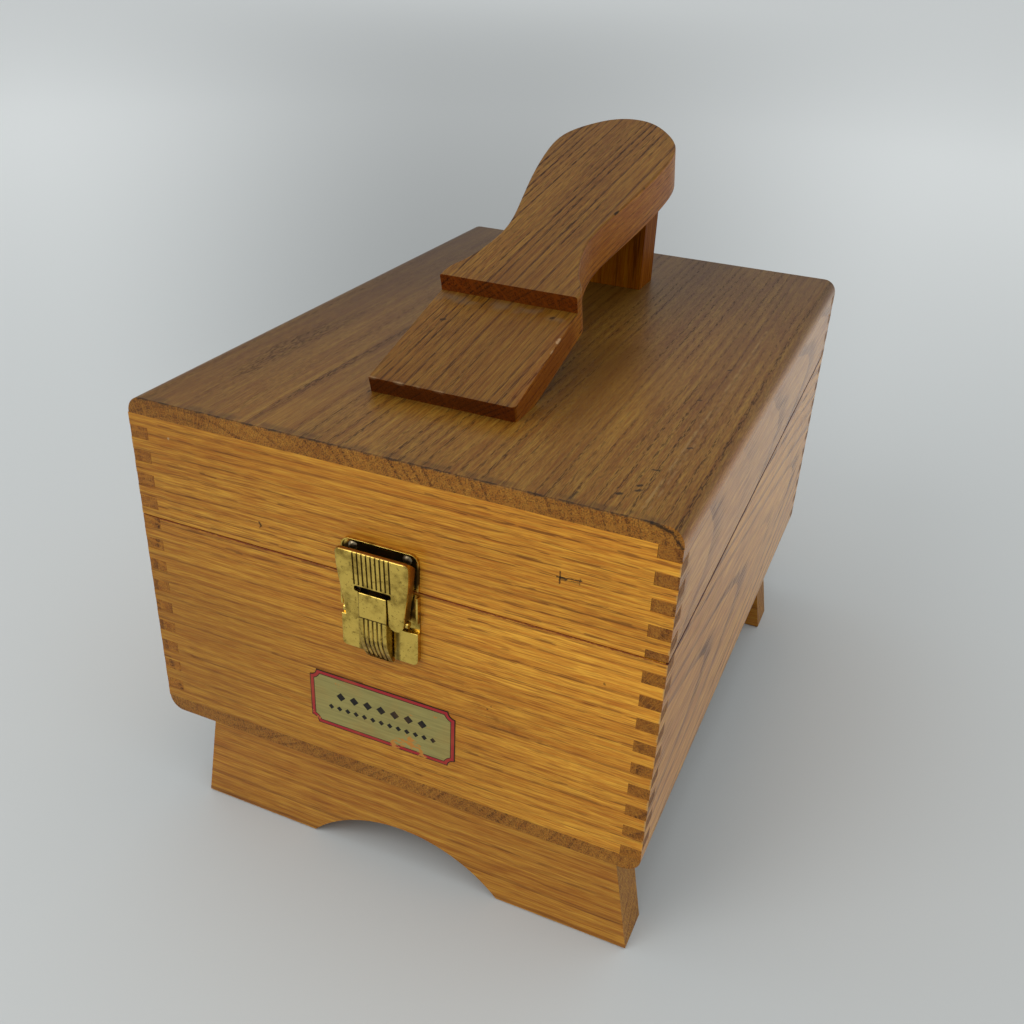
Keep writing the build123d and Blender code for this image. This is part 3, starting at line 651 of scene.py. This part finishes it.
@dataclass(frozen=True)
class LabelPrint:
    """Printed label with no writing: a gold field inside a red border between thin dark lines, and
    two rows of plain lozenges.

    Attributes:
        name: name of the material.
        field, border, ink, wood: its colours, and that of the wood where it is rubbed through.
        notch: radius of the hollow corners in millimetres.
        line: width of a dark line in millimetres.
        band: width of the red border in millimetres.
        rows: for each row of lozenges its height above the label's middle, the lozenges' half-width,
            half-height and distance, and half the row's length, in millimetres.
    """

    name: str = "label_print"
    field: Colour = (0.3, 0.256, 0.082)
    border: Colour = (0.36, 0.022, 0.025)
    ink: Colour = (0.012, 0.01, 0.008)
    wood: Colour = (0.5, 0.205, 0.035)
    notch: float = 3.5
    line: float = 0.4
    band: float = 1.5
    rows: tuple[tuple[float, float, float, float, float], ...] = ((3.6, 2.4, 2.4, 7.0, 24.5),
                                                                  (-3.6, 1.5, 1.5, 4.4, 28.6))

    def material(self) -> Material:
        """Build the material.

        Returns:
            The material.
        """
        low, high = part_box("front_label")
        middle, half = (low + high) / 2, (high - low) / 2
        g = Graph(self.name)
        centred = g.vector("SUBTRACT", g.place, tuple(middle))
        parts = g.add("ShaderNodeSeparateXYZ")
        g.feed(parts.inputs[0], centred)
        x, z = (g.math("ABSOLUTE", parts.outputs[axis]) for axis in ("X", "Z"))
        from_side = g.math("SUBTRACT", half.x, x)
        from_top = g.math("SUBTRACT", half.z, z)
        corner = g.add("ShaderNodeCombineXYZ")
        g.feed(corner.inputs["X"], from_side)
        g.feed(corner.inputs["Y"], from_top)
        from_corner = g.measure("LENGTH", corner.outputs[0])
        from_notch = g.math("SUBTRACT", from_corner, self.notch * MM)
        inset = g.math("MINIMUM", g.math("MINIMUM", from_side, from_top), from_notch)
        fibres = g.noise(g.place, (60.0, 60.0, 900.0), 3.0)
        colour = g.scaled(self.field, g.fade(fibres, 0.3, 0.7, 0.88, 1.12))
        colour = g.mix(self.ornament(g, x, parts.outputs["Z"]), colour, self.ink)
        edges = (2 * self.line + self.band, self.line + self.band, self.line)
        for edge, tone in zip(edges, (self.ink, self.border, self.ink)):
            colour = g.mix(g.math("LESS_THAN", inset, edge * MM), colour, tone)
        age = g.noise(g.place, (60.0, 60.0, 60.0), 4.0)
        colour = g.mix(g.fade(age, 0.45, 0.8, 0.0, 0.25), colour, self.wood)
        worn = g.noise(g.place, (150.0, 150.0, 260.0), 4.0, 0.65)
        worst = tuple(middle + Vector((half.x * 0.4, 0.0, -half.z * 0.85)))
        away = g.vector("SUBTRACT", g.place, worst)
        wide = g.vector("MULTIPLY", away, (0.6, 1.0, 1.0))
        near = g.fade(g.measure("LENGTH", wide), 3 * MM, 10 * MM, 0.2, 0.0)
        rubbed = g.fade(g.math("ADD", worn, near), 0.66, 0.7)
        colour = g.mix(rubbed, colour, self.wood)
        return g.finish(base_color=colour, roughness=0.5, specular_ior_level=0.2)

    def ornament(self, g: Graph, x: Socket, z: Socket) -> Socket:
        """The rows of lozenges.

        Args:
            g: the material.
            x: distance from the label's middle along it, in metres.
            z: height above its middle, in metres.

        Returns:
            1 where there is ink.
        """
        inked: Signal = 0.0
        for middle, wide, high, pitch, reach in self.rows:
            away = g.math("ABSOLUTE", g.math("SUBTRACT", z, middle * MM))
            beside = g.math("PINGPONG", x, pitch / 2 * MM)
            share = g.math("ADD", g.math("DIVIDE", beside, wide * MM), g.math("DIVIDE", away, high * MM))
            lozenges = g.math("LESS_THAN", share, 1.0)
            row = g.math("MULTIPLY", lozenges, g.math("LESS_THAN", x, reach * MM))
            inked = g.math("MAXIMUM", row, inked)
        return inked


def lay(x: float, y: float) -> Point:
    """A point on top of the box, in millimetres."""
    return (x, y, TOP)


def face(x: float, z: float) -> Point:
    """A point on the latch face, in millimetres."""
    return (x, FRONT, z)


DIRT: Colour = (0.014, 0.01, 0.007)
GREASE: Colour = (0.03, 0.016, 0.008)
# Colour of the painted shade in the gap between lid and base.
SEAM_SHADE: Colour = (0.075, 0.011, 0.006)
CHIP: Colour = (0.44, 0.29, 0.15)
# Colour of worn corners, which also stands for a painted highlight.
RUBBED_AND_HIGHLIGHT: Colour = (0.5, 0.31, 0.12)

FRONT_MARKS = (
    Mark(face(-59.9, 176.4), face(-59.4, 175.2), 0.5, DIRT, 0.8, 0.4),
    Mark(face(-58.9, 174.9), face(-59.8, 173.9), 0.3, DIRT, 0.8, 0.4),
    Mark(face(77.8, 189.4), face(87.8, 190.2), 0.28, DIRT, 0.85, 0.3),
    Mark(face(79.2, 188.4), face(86.8, 189.2), 0.2, DIRT, 0.7, 0.3),
    Mark(face(78.9, 192.0), face(79.2, 186.8), 0.35, DIRT, 0.85, 0.4),
    Mark(face(79.4, 189.4), face(81.6, 189.3), 0.55, DIRT, 0.8, 0.5),
    Mark(face(87.3, 191.0), face(87.2, 188.6), 0.3, DIRT, 0.6, 0.4),
    # Painted shade in the gap between lid and base.
    Mark(face(-125, 163.5), face(125, 163.5), 0.35, (0.15, 0.016, 0.012), 0.85, 0.5),
    Mark(face(-104.5, 206.4), face(-104.3, 206.2), 0.5, CHIP, 0.9, 0.5),
    Mark(face(46.5, 114.0), face(52.5, 111.0), 2.4, (0.22, 0.075, 0.008), 0.6, 4.0, 5.0),
    Mark(face(53.0, 110.5), face(75.0, 105.5), 1.5, (0.24, 0.08, 0.01), 0.5, 3.5, 6.0),
    Mark(face(50.6, 114.6), face(50.9, 114.2), 0.35, DIRT, 0.7, 0.4),
    Mark(face(52.5, 116.4), face(52.6, 116.2), 0.3, DIRT, 0.7, 0.4),
    Mark(face(100.9, 146.0), face(101.2, 145.6), 0.4, DIRT, 0.6, 0.5),
    # Paler lines down the corners: partly rubbed wear and chips, partly a painted highlight where the
    # arris catches light.
    Mark((125, FRONT, 60.0), (125, FRONT, 163.0), 0.55, RUBBED_AND_HIGHLIGHT, 0.7, 0.5, 6.0),
    Mark((125, FRONT, 165.0), (125, FRONT, 213.0), 0.55, RUBBED_AND_HIGHLIGHT, 0.7, 0.5, 5.0),
    Mark((-125, FRONT, 165.0), (-125, FRONT, 212.0), 0.5, RUBBED_AND_HIGHLIGHT, 0.6, 0.5, 6.0),
)

TOP_MARKS = (
    Mark(lay(94.2, -155.0), lay(95.0, -154.3), 1.0, DIRT, 0.85, 1.3),
    Mark(lay(99.8, -149.4), lay(100.8, -148.4), 0.8, DIRT, 0.85, 1.1),
    Mark(lay(79.5, -166.8), lay(80.2, -161.0), 0.6, DIRT, 0.7, 1.0),
    Mark(lay(100.2, -129.4), lay(102.2, -129.1), 0.6, DIRT, 0.8, 0.9),
    Mark(lay(99.2, -145.2), lay(100.0, -144.2), 0.8, DIRT, 0.85, 0.8),
    Mark(lay(101.2, -9.2), lay(102.0, -8.2), 0.8, GREASE, 0.8, 1.0),
    Mark(lay(107.3, -103.8), lay(108.3, -103.0), 0.9, GREASE, 0.8, 1.0),
    Mark(lay(98.0, -52.6), lay(98.8, -52.0), 0.7, GREASE, 0.8, 1.0),
    Mark(lay(-125, FRONT + 0.3), lay(112, FRONT + 0.3), 0.6, GREASE, 0.8, 0.9, 5.0),
    Mark(lay(-125, FRONT + 0.2), lay(112, FRONT + 0.2), 0.35, GREASE, 0.7, 0.6),
    Mark(lay(-123, FRONT + 2.6), lay(115, FRONT + 2.6), 2.0, (0.045, 0.025, 0.012), 0.4, 3.0, 14.0),
    # A darker amber patch beside the sole: painted shade and a painted dark reflection of the sole's
    # underside.
    Mark(lay(48.0, -92.0), lay(46.0, -10.0), 14.0, (0.105, 0.042, 0.002), 0.5, 26.0),
    Mark(lay(106.0, -165.0), lay(106.0, 60.0), 0.5, (0.27, 0.16, 0.06), 0.7, 0.6, 8.0),
    Mark(lay(108.5, -165.0), lay(108.5, 20.0), 0.5, (0.25, 0.14, 0.05), 0.6, 0.6, 6.0),
    Mark(lay(107.2, -165.0), lay(107.2, 40.0), 0.5, GREASE, 0.3, 0.6, 7.0),
    Mark((112.0, FRONT + 0.3, TOP), (120.0, FRONT + 0.3, TOP - 2.2), 0.7, DIRT, 0.85, 0.7),
    Mark((120.0, FRONT + 0.3, TOP - 2.2), (124.5, FRONT + 0.3, TOP - 8.0), 0.7, DIRT, 0.85, 0.7, 3.0),
)

SIDE_MARKS = (
    # Painted shade in the gap between lid and base: a dark line, and a softer, wider painted shadow.
    Mark((SIDE, FRONT, 163.6), (SIDE, BACK, 175.9), 0.95, SEAM_SHADE, 0.95, 0.6),
    Mark((SIDE, FRONT, 162.6), (SIDE, BACK, 174.9), 1.2, SEAM_SHADE, 0.45, 1.6, 12.0),
)

SOLE_MARKS = (
    Mark((-35.0, -117.2, 230.0), (8.0, -117.2, 230.0), 0.9, CHIP, 0.8, 1.0, 9.0),
    Mark((-33.0, -51.5, 249.2), (33.0, -51.5, 249.2), 3.2, (0.15, 0.11, 0.075), 0.45, 5.0, 14.0),
    Mark((-23.8, -69.0, 244.0), (-22.8, -68.4, 244.2), 0.9, DIRT, 0.85, 0.9),
    Mark((24.8, -53.6, 248.4), (25.4, -53.2, 248.6), 0.9, DIRT, 0.85, 0.9),
    Mark((34.8, -70.0, 243.8), (35.0, -67.5, 244.6), 0.9, CHIP, 0.9, 0.8),
    Mark((35.2, -78.0, 241.2), (35.2, -76.0, 241.8), 0.45, CHIP, 0.7, 0.6),
    Mark((26.3, 25.5, 280.5), (27.3, 28.5, 281.4), 1.0, DIRT, 0.9, 0.8),
    Mark((24.5, 5.0, 274.6), (33.5, 31.0, 282.2), 0.6, DIRT, 0.7, 0.8, 6.0),
    Mark((32.0, 53.2, 288.6), (32.0, 54.2, 288.8), 1.0, GREASE, 0.8, 1.0),
    Mark((34.6, 33.5, 282.8), (35.6, 38.5, 284.2), 1.4, DIRT, 0.95, 0.8),
    Mark((-34.0, -117.5, 226.0), (34.0, -117.5, 226.0), 4.0, (0.05, 0.01, 0.002), 0.6, 4.0),
    Mark((36.0, -108.0, 226.0), (36.0, -56.0, 240.0), 7.0, (0.18, 0.038, 0.001), 0.6, 10.0),
    Mark((-6.0, -112.0, 231.5), (6.0, -58.0, 247.2), 30.0, (0.09, 0.03, 0.002), 0.2, 20.0),
)

CATCH_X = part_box("latch_tongue")[0].x / MM + 6.6
CATCH_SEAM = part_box("latch_tongue")[1].z / MM + 2.5
GROOVE_PITCH = 2.12
# Colour of painted brown reflection and shade on the catch.
BROWN_REFLECTION_AND_SHADE: Colour = (0.3, 0.115, 0.025)
# Colour of grime in the grooves, and of painted shade round and under the cover.
GRIME_AND_SHADE: Colour = (0.045, 0.026, 0.009)


def latch(x: float, out: float, up: float) -> Point:
    """A point on the catch, from its middle, the latch face and the seam, in millimetres."""
    return (CATCH_X + x, FRONT - out, CATCH_SEAM + up)


def grooves(count: int, first: Pair, last: Pair) -> tuple[Mark, ...]:
    """Grime in a row of grooves that run up the catch.

    Args:
        count: how many grooves there are, an odd number.
        first, last: each end's distance out from the latch face and height above the seam, in
            millimetres.

    Returns:
        The marks.
    """
    places = [GROOVE_PITCH * step for step in range(-(count // 2), count // 2 + 1)]
    return tuple(Mark(latch(x, *first), latch(x, *last), 0.42, GRIME_AND_SHADE, 0.9, 0.25) for x in places)


CATCH_MARKS = (
    *grooves(9, (7.3, 0.6), (8.3, 16.6)),
    *grooves(5, (7.9, -15.0), (7.1, -27.5)),
    *grooves(5, (7.1, -27.5), (3.4, -36.5)),
    # Painted reflection of the wood on the cover's bent-back lip.
    Mark(latch(-16.0, 7.6, 17.2), latch(16.0, 7.6, 17.2), 0.75, BROWN_REFLECTION_AND_SHADE, 0.85, 0.5),
    # Painted brown shade on the cover's right side wall.
    Mark(latch(17.3, 4.5, 15.0), latch(14.3, 4.0, -14.0), 2.0, BROWN_REFLECTION_AND_SHADE, 0.8, 1.0),
    # Dark lines round the tongue: grime and painted contact shadow.
    Mark(latch(-6.7, 8.2, -2.6), latch(-6.7, 8.2, -14.8), 0.35, GRIME_AND_SHADE, 0.9, 0.3),
    Mark(latch(-6.6, 8.2, -14.8), latch(6.6, 8.2, -14.8), 0.3, GRIME_AND_SHADE, 0.85, 0.25),
)

# Painted shade on the plates under the cover: dark patches in the keeper's pan and behind the slot, and
# strips beneath the cover's legs.
PLATE_MARKS = (
    Mark(latch(-11.0, 0.8, 8.5), latch(11.0, 0.8, 8.5), 8.6, GRIME_AND_SHADE, 0.95, 1.5),
    Mark(latch(-11.0, 0.8, -6.0), latch(11.0, 0.8, -6.0), 5.5, GRIME_AND_SHADE, 0.95, 1.5),
    Mark(latch(-9.0, 1.0, -19.6), latch(-9.0, 1.0, -36.0), 2.0, GRIME_AND_SHADE, 0.8, 0.8),
    Mark(latch(9.0, 1.0, -19.6), latch(9.0, 1.0, -36.0), 2.0, GRIME_AND_SHADE, 0.8, 0.8),
)

FRONT_OAK = Oak(
    name="front_oak", late=(0.53, 0.23, 0.02), early=(0.27, 0.096, 0.008), pore=(0.12, 0.036, 0.003),
    grain=Grain.ALONG_X, heart=(-60.0, -130.0), ring=4.2, waver=3.4, contrast=0.55, pores=0.9,
    dash=(10.0, 0.4), density=0.012, bold=0.7, end_tint=(0.42, 0.38, 0.4), tone_ends=(0.81, 1.36),
    tone_span=(-40.0, 280.0), tone_axis=(1.0, 0.0, 0.8), coat=0.28, marks=FRONT_MARKS)
SIDE_OAK = Oak(
    name="side_oak", late=(0.68, 0.3, 0.027), early=(0.27, 0.098, 0.01), pore=(0.13, 0.044, 0.004),
    grain=Grain.ALONG_Y, heart=(-98.0, 112.0), ring=8.0, taper=0.12, waver=6.0, contrast=0.68, pores=0.9,
    dash=(22.0, 0.9), end_tint=(0.5, 0.43, 0.38), coat=0.6, coat_roughness=0.2, marks=SIDE_MARKS)
LID_SIDE_OAK = Oak(
    name="lid_side_oak", late=(0.56, 0.248, 0.037), early=(0.33, 0.13, 0.018), pore=(0.12, 0.035, 0.004),
    grain=Grain.ALONG_Y, heart=(-84.0, 196.0), ring=9.0, taper=0.14, waver=9.0, contrast=0.75, pores=0.8,
    dash=(26.0, 0.7), end_tint=(0.56, 0.48, 0.3), coat=0.64, coat_roughness=0.2, marks=SIDE_MARKS)
# The panel's sideways faces are painted lighter than its top.
PANEL_OAK = Oak(
    name="panel_oak", late=(0.165, 0.075, 0.0085), early=(0.1, 0.04, 0.0045), pore=(0.026, 0.009, 0.001),
    grain=Grain.ALONG_Y, heart=(95.0, 150.0), ring=4.2, waver=4.0, contrast=0.6, pores=1.0,
    dash=(4.0, 0.42), density=0.035, bold=0.6, end_tint=(1.7, 1.5, 1.4), tone_ends=(1.34, 0.57),
    tone_span=(-260.0, 300.0), tone_axis=(-1.1, 1.0, 0.0), flank_light=(2.3, 2.1, 2.1), flank_coat=3.0,
    coat=0.21, coat_roughness=0.28, marks=TOP_MARKS)
# The sole's sideways faces are painted lighter and warmer than its top.
SOLE_OAK = Oak(
    name="sole_oak", late=(0.185, 0.08, 0.0075), early=(0.074, 0.026, 0.0025),
    pore=(0.012, 0.003, 0.0005), grain=Grain.UP_THE_SOLE, heart=(-150.0, 60.0), ring=2.4, waver=1.8,
    contrast=0.85, pores=1.0, dash=(5.0, 0.42), density=0.04, bold=0.8,
    end_tint=(0.9, 0.42, 0.17), flank_light=(1.9, 1.5, 0.8),
    up=(0.0, -math.sin(SOLE_SLOPE), math.cos(SOLE_SLOPE)), coat=0.15, coat_roughness=0.35,
    marks=SOLE_MARKS)
POST_OAK = Oak(
    name="post_oak", late=(0.225, 0.066, 0.0015), early=(0.108, 0.021, 0.001), pore=(0.03, 0.007, 0.001),
    grain=Grain.UPRIGHT, heart=(-30.0, -60.0), waver=1.5, contrast=0.8, pores=0.6,
    gloss=0.015, coat=0.01)
FOOT_OAK = Oak(
    name="foot_oak", late=(0.42, 0.175, 0.016), early=(0.23, 0.076, 0.006), pore=(0.12, 0.036, 0.003),
    grain=Grain.ALONG_X, heart=(-110.0, -60.0), ring=5.0, contrast=0.8, dash=(15.0, 0.65),
    end_tint=(0.9, 0.95, 1.0), coat=0.3)
COVER_BRASS = Metal(name="cover_brass", bright=(0.72, 0.5, 0.105), stained=(0.27, 0.17, 0.03),
                    stain=0.52, marks=CATCH_MARKS)
PLATE_BRASS = Metal(name="plate_brass", bright=(0.72, 0.5, 0.105), stained=(0.27, 0.17, 0.03),
                    marks=PLATE_MARKS)
RIVET_METAL = Metal(name="rivet_metal", bright=(0.38, 0.31, 0.2), stained=(0.14, 0.1, 0.05),
                    stain=0.6, polish=0.3)
HINGE_BRASS = Metal(name="hinge_brass", bright=(0.5, 0.38, 0.13), stained=(0.22, 0.15, 0.05),
                    stain=0.6, polish=0.25)
STEEL = Metal(name="dull_steel", bright=(0.42, 0.41, 0.39), stained=(0.14, 0.11, 0.09), stain=0.6,
              polish=0.35)

WELD = 0.002 * MM  # corners closer than this are one
FLAT_ANGLE = math.radians(1.0)  # faces that meet at less than this are one
SHARP_ANGLE = math.radians(30.0)  # edges sharper than this are rounded
SMOOTH_ANGLE = math.radians(35.0)  # edges blunter than this are shaded smooth


def rounded(node: str, width: float) -> bpy.types.Object:
    """A copy of a node's solid with its sharp edges rounded, that stands for the node.

    Args:
        node: the node.
        width: width of the rounding in millimetres.

    Returns:
        The new piece.
    """
    source = frame["nodes"][node]
    mesh = source.data.copy()
    shape = bmesh.new()
    shape.from_mesh(mesh)
    bmesh.ops.remove_doubles(shape, verts=shape.verts, dist=WELD)
    bmesh.ops.dissolve_limit(shape, angle_limit=FLAT_ANGLE, verts=shape.verts, edges=shape.edges)
    sharp = [edge for edge in shape.edges
             if len(edge.link_faces) == 2 and edge.calc_face_angle() > SHARP_ANGLE]
    bmesh.ops.bevel(shape, geom=sharp, offset=width * MM, offset_type="OFFSET", segments=2,
                    profile=0.5, affect="EDGES", clamp_overlap=True, material=-1)
    shape.to_mesh(mesh)
    shape.free()
    piece = bpy.data.objects.new(f"{node}_shown", mesh)
    bpy.context.scene.collection.objects.link(piece)
    mesh.shade_smooth()
    mesh.set_sharp_from_angle(angle=SMOOTH_ANGLE)
    piece.modifiers.new("even_faces", "WEIGHTED_NORMAL").keep_sharp = True
    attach(piece, source["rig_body"])
    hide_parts(node)
    return piece


def dress(piece: bpy.types.Object, material: Material) -> None:
    """Give a piece its one material.

    Args:
        piece: the object.
        material: its finish.
    """
    piece.data.materials.clear()
    piece.data.materials.append(material)
    LOG.info("%s: %s", piece.name, material.name)


@dataclass
class Carcass:
    """The finger-jointed boards of the base and the lid, and the two panels."""

    arris: float = 0.3

    def build(self) -> None:
        """Round and dress every board."""
        front, panel = FRONT_OAK.material(), PANEL_OAK.material()
        for part, sides in (("base", SIDE_OAK), ("lid", LID_SIDE_OAK)):
            side = sides.material()
            for wall, oak in (("front", front), ("back", front), ("left", side), ("right", side)):
                dress(rounded(f"{part}_{wall}_board", self.arris), oak)
        for node in ("bottom_panel", "lid_top_panel"):
            dress(rounded(node, self.arris), panel)


@dataclass
class Feet:
    """The two arched feet."""

    arris: float = 0.8

    def build(self) -> None:
        """Round and dress both feet."""
        oak = FOOT_OAK.material()
        for node in ("front_foot", "rear_foot"):
            dress(rounded(node, self.arris), oak)


@dataclass
class Footrest:
    """The sole and its post."""

    arris: float = 0.5

    def build(self) -> None:
        """Round and dress the sole and the post."""
        dress(rounded("footrest_sole", self.arris), SOLE_OAK.material())
        dress(rounded("footrest_post", self.arris), POST_OAK.material())


@dataclass
class Catch:
    """The spring catch."""

    arris: float = 0.22
    covers: tuple[str, ...] = ("latch_hasp", "latch_tongue", "latch_thumb_slide", "hasp_hook")
    plates: tuple[str, ...] = ("latch_base_plate", "latch_keeper_plate")
    rivets: tuple[str, ...] = ("latch_base_rivets", "latch_keeper_rivets")

    def build(self) -> None:
        """Round and dress the catch."""
        cover, plate, rivet = COVER_BRASS.material(), PLATE_BRASS.material(), RIVET_METAL.material()
        for nodes, brass in ((self.covers, cover), (self.plates, plate)):
            for node in nodes:
                dress(rounded(node, self.arris), brass)
        dress(frame["nodes"]["latch_pivot_rivets"], plate)
        for node in self.rivets:
            dress(frame["nodes"][node], rivet)


@dataclass
class Hinges:
    """The two hinges, and all the screws."""

    def build(self) -> None:
        """Dress the hinges and the screws."""
        brass, steel = HINGE_BRASS.material(), STEEL.material()
        for side in ("left", "right"):
            for piece in ("base_leaf", "lid_leaf", "pin"):
                dress(frame["nodes"][f"{side}_hinge_{piece}"], brass)
        for place in ("hinge_base", "hinge_lid", "foot", "heel", "post"):
            dress(frame["nodes"][f"{place}_screws"], steel)


@dataclass
class Label:
    """The bare label under the catch."""

    def build(self) -> None:
        """Dress the label."""
        dress(frame["nodes"]["front_label"], LabelPrint().material())


@dataclass
class Studio:
    """Floor, soft light and camera, in metres, watts and degrees.

    Attributes:
        near_floor, far_floor: the floor's colours under the object and far away.
        floor_change: distances between which the one turns into the other.
        floor_sides, floor_side_shade: two places along X, and what the near colour is multiplied by
            there, a painted shade that darkens the floor towards the right.
        wedge_lean, wedge_width: how far to the left a soft wedge of painted shadow behind the object
            leans, and how
        far it opens to each side, to one metre of depth.
        wedge_start: depths between which the wedge begins.
        wedge_depths, wedge_loss: two depths, and the share of its tone that the floor loses at each.
        sky: colour that the camera and gloss see all round.
        ambient: strength of the even light.
        overhead_place, overhead_size, overhead_power: the lamp above the object; key_, the one in
            front of it.
        camera_lens: focal length in millimetres.
    """

    floor_radius: float = 12.0
    near_floor: Colour = (0.585, 0.622, 0.635)
    far_floor: Colour = (0.93, 0.98, 1.0)
    floor_change: Pair = (0.3, 2.6)
    floor_sides: Pair = (-0.1, 0.7)
    floor_side_shade: Pair = (0.96, 0.86)
    wedge_lean: float = 0.04
    wedge_width: float = 0.42
    wedge_start: Pair = (0.55, 1.1)
    wedge_depths: Pair = (0.8, 8.0)
    wedge_loss: Pair = (0.44, 0.04)
    sky: Colour = (0.44, 0.46, 0.47)
    ambient: float = 0.62
    overhead_place: Point = (0.0, -0.2, 1.8)
    overhead_size: float = 3.2
    overhead_power: float = 14.0
    key_place: Point = (-0.9, -1.5, 1.5)
    key_size: float = 1.2
    key_power: float = 9.0
    camera_place: Point = (0.19094, -0.49125, 0.40714)
    camera_azimuth: float = 22.48
    camera_elevation: float = 29.229
    camera_roll: float = 2.662
    camera_lens: float = 37.037

    def build(self) -> None:
        """Set the floor, the light and the camera."""
        self.lay_floor()
        self.light_world()
        self.hang_lamp("key", self.key_place, self.key_size, self.key_power)
        self.hang_lamp("overhead", self.overhead_place, self.overhead_size, self.overhead_power)
        self.set_camera()
        bpy.context.scene.view_settings.view_transform = "Standard"

    def lay_floor(self) -> None:
        """A wide pale floor that grows cooler and lighter with distance, with painted shade towards the
        right and a painted shadow behind the object.
        """
        mesh = bpy.data.meshes.new("floor")
        shape = bmesh.new()
        bmesh.ops.create_circle(shape, cap_ends=True, segments=96, radius=self.floor_radius)
        shape.to_mesh(mesh)
        shape.free()
        floor = bpy.data.objects.new("floor", mesh)
        bpy.context.scene.collection.objects.link(floor)
        g = Graph("floor")
        away = g.vector("SUBTRACT", g.place, (0.0, -0.3, 0.0))
        distance = g.measure("LENGTH", away)
        parts = g.add("ShaderNodeSeparateXYZ")
        g.feed(parts.inputs[0], g.place)
        # Painted shade: the near floor darkens towards the right.
        side_shade = g.fade(parts.outputs["X"], *self.floor_sides, *self.floor_side_shade)
        near = g.scaled(self.near_floor, side_shade)
        colour = g.mix(g.fade(distance, *self.floor_change), near, self.far_floor)
        mesh.materials.append(g.finish(base_color=g.scaled(colour, self.painted_shadow(g)), roughness=0.6,
                                       specular_ior_level=0.2))

    def painted_shadow(self, g: Graph) -> Socket:
        """Painted shadow: how much darker the floor is in a soft wedge that opens behind the object.

        Args:
            g: the floor's material.

        Returns:
            What the floor's colour is multiplied by.
        """
        azimuth = math.radians(self.camera_azimuth)
        ahead = (-math.sin(azimuth), math.cos(azimuth), 0.0)
        aside = (math.cos(azimuth), math.sin(azimuth), 0.0)
        offset = g.vector("SUBTRACT", g.place, (*self.camera_place[:2], 0.0))
        depth = g.measure("DOT_PRODUCT", offset, ahead)
        across = g.measure("DOT_PRODUCT", offset, aside)
        slope = g.math("DIVIDE", across, g.math("MAXIMUM", depth, 0.1))
        slant = g.math("ABSOLUTE", g.math("ADD", slope, self.wedge_lean))
        inside = g.fade(slant, 0.02, self.wedge_width, 1.0, 0.0)
        begun = g.math("MULTIPLY", inside, g.fade(depth, *self.wedge_start))
        loss = g.math("MULTIPLY", begun, g.fade(depth, *self.wedge_depths, *self.wedge_loss))
        return g.math("SUBTRACT", 1.0, loss)

    def light_world(self) -> None:
        """Even light from all round, which the camera and gloss see as a pale backdrop."""
        world = bpy.data.worlds.new("backdrop")
        bpy.context.scene.world = world
        world.use_nodes = True
        tree = world.node_tree
        tree.nodes.clear()
        path = tree.nodes.new("ShaderNodeLightPath")
        seen = tree.nodes.new("ShaderNodeMath")
        seen.operation = "MAXIMUM"
        for ray, socket in zip(("Is Camera Ray", "Is Glossy Ray"), seen.inputs):
            tree.links.new(path.outputs[ray], socket)
        light, backdrop = tree.nodes.new("ShaderNodeBackground"), tree.nodes.new("ShaderNodeBackground")
        light.inputs["Color"].default_value = (1.0, 0.995, 0.98, 1.0)
        light.inputs["Strength"].default_value = self.ambient
        backdrop.inputs["Color"].default_value = (*self.sky, 1.0)
        choose = tree.nodes.new("ShaderNodeMixShader")
        output = tree.nodes.new("ShaderNodeOutputWorld")
        for source, socket in zip((seen, light, backdrop), choose.inputs):
            tree.links.new(source.outputs[0], socket)
        tree.links.new(choose.outputs[0], output.inputs["Surface"])

    def hang_lamp(self, name: str, place: Point, size: float, power: float) -> None:
        """One large soft lamp that faces the object.

        Args:
            name: what to call it.
            place: where it hangs, in metres.
            size: its width in metres.
            power: its power in watts.
        """
        lamp = bpy.data.lights.new(name, "AREA")
        lamp.shape = "DISK"
        lamp.size = size
        lamp.energy = power
        lamp.color = (1.0, 0.99, 0.97)
        holder = bpy.data.objects.new(name, lamp)
        bpy.context.scene.collection.objects.link(holder)
        holder.location = place
        aim = Vector((0.0, 0.0, 0.12)) - Vector(place)
        holder.rotation_euler = aim.to_track_quat("-Z", "Y").to_euler()

    def set_camera(self) -> None:
        """The camera, level but for a slight roll."""
        azimuth, elevation, roll = (math.radians(angle) for angle in
                                    (self.camera_azimuth, self.camera_elevation, self.camera_roll))
        back = Vector((math.sin(azimuth) * math.cos(elevation), -math.cos(azimuth) * math.cos(elevation),
                       math.sin(elevation)))
        right = Vector((0.0, 0.0, 1.0)).cross(back).normalized()
        up = back.cross(right)
        turned_right = math.cos(roll) * right + math.sin(roll) * up
        turned_up = math.cos(roll) * up - math.sin(roll) * right
        camera = bpy.data.cameras.new("camera")
        camera.sensor_width = 36.0
        camera.lens = self.camera_lens
        camera.clip_start = 0.01
        holder = bpy.data.objects.new("camera", camera)
        bpy.context.scene.collection.objects.link(holder)
        axes = Matrix((turned_right, turned_up, back)).transposed().to_4x4()
        holder.matrix_world = Matrix.Translation(Vector(self.camera_place)) @ axes
        bpy.context.scene.camera = holder


def main() -> None:
    """Build the sub-assemblies in order, then the studio."""
    logging.basicConfig(level=logging.INFO, format="%(name)s: %(message)s")
    for part in (Carcass(), Feet(), Footrest(), Catch(), Hinges(), Label()):
        part.build()
        LOG.info("%s is built", type(part).__name__)
    Studio().build()


if __name__ == "__main__":
    main()
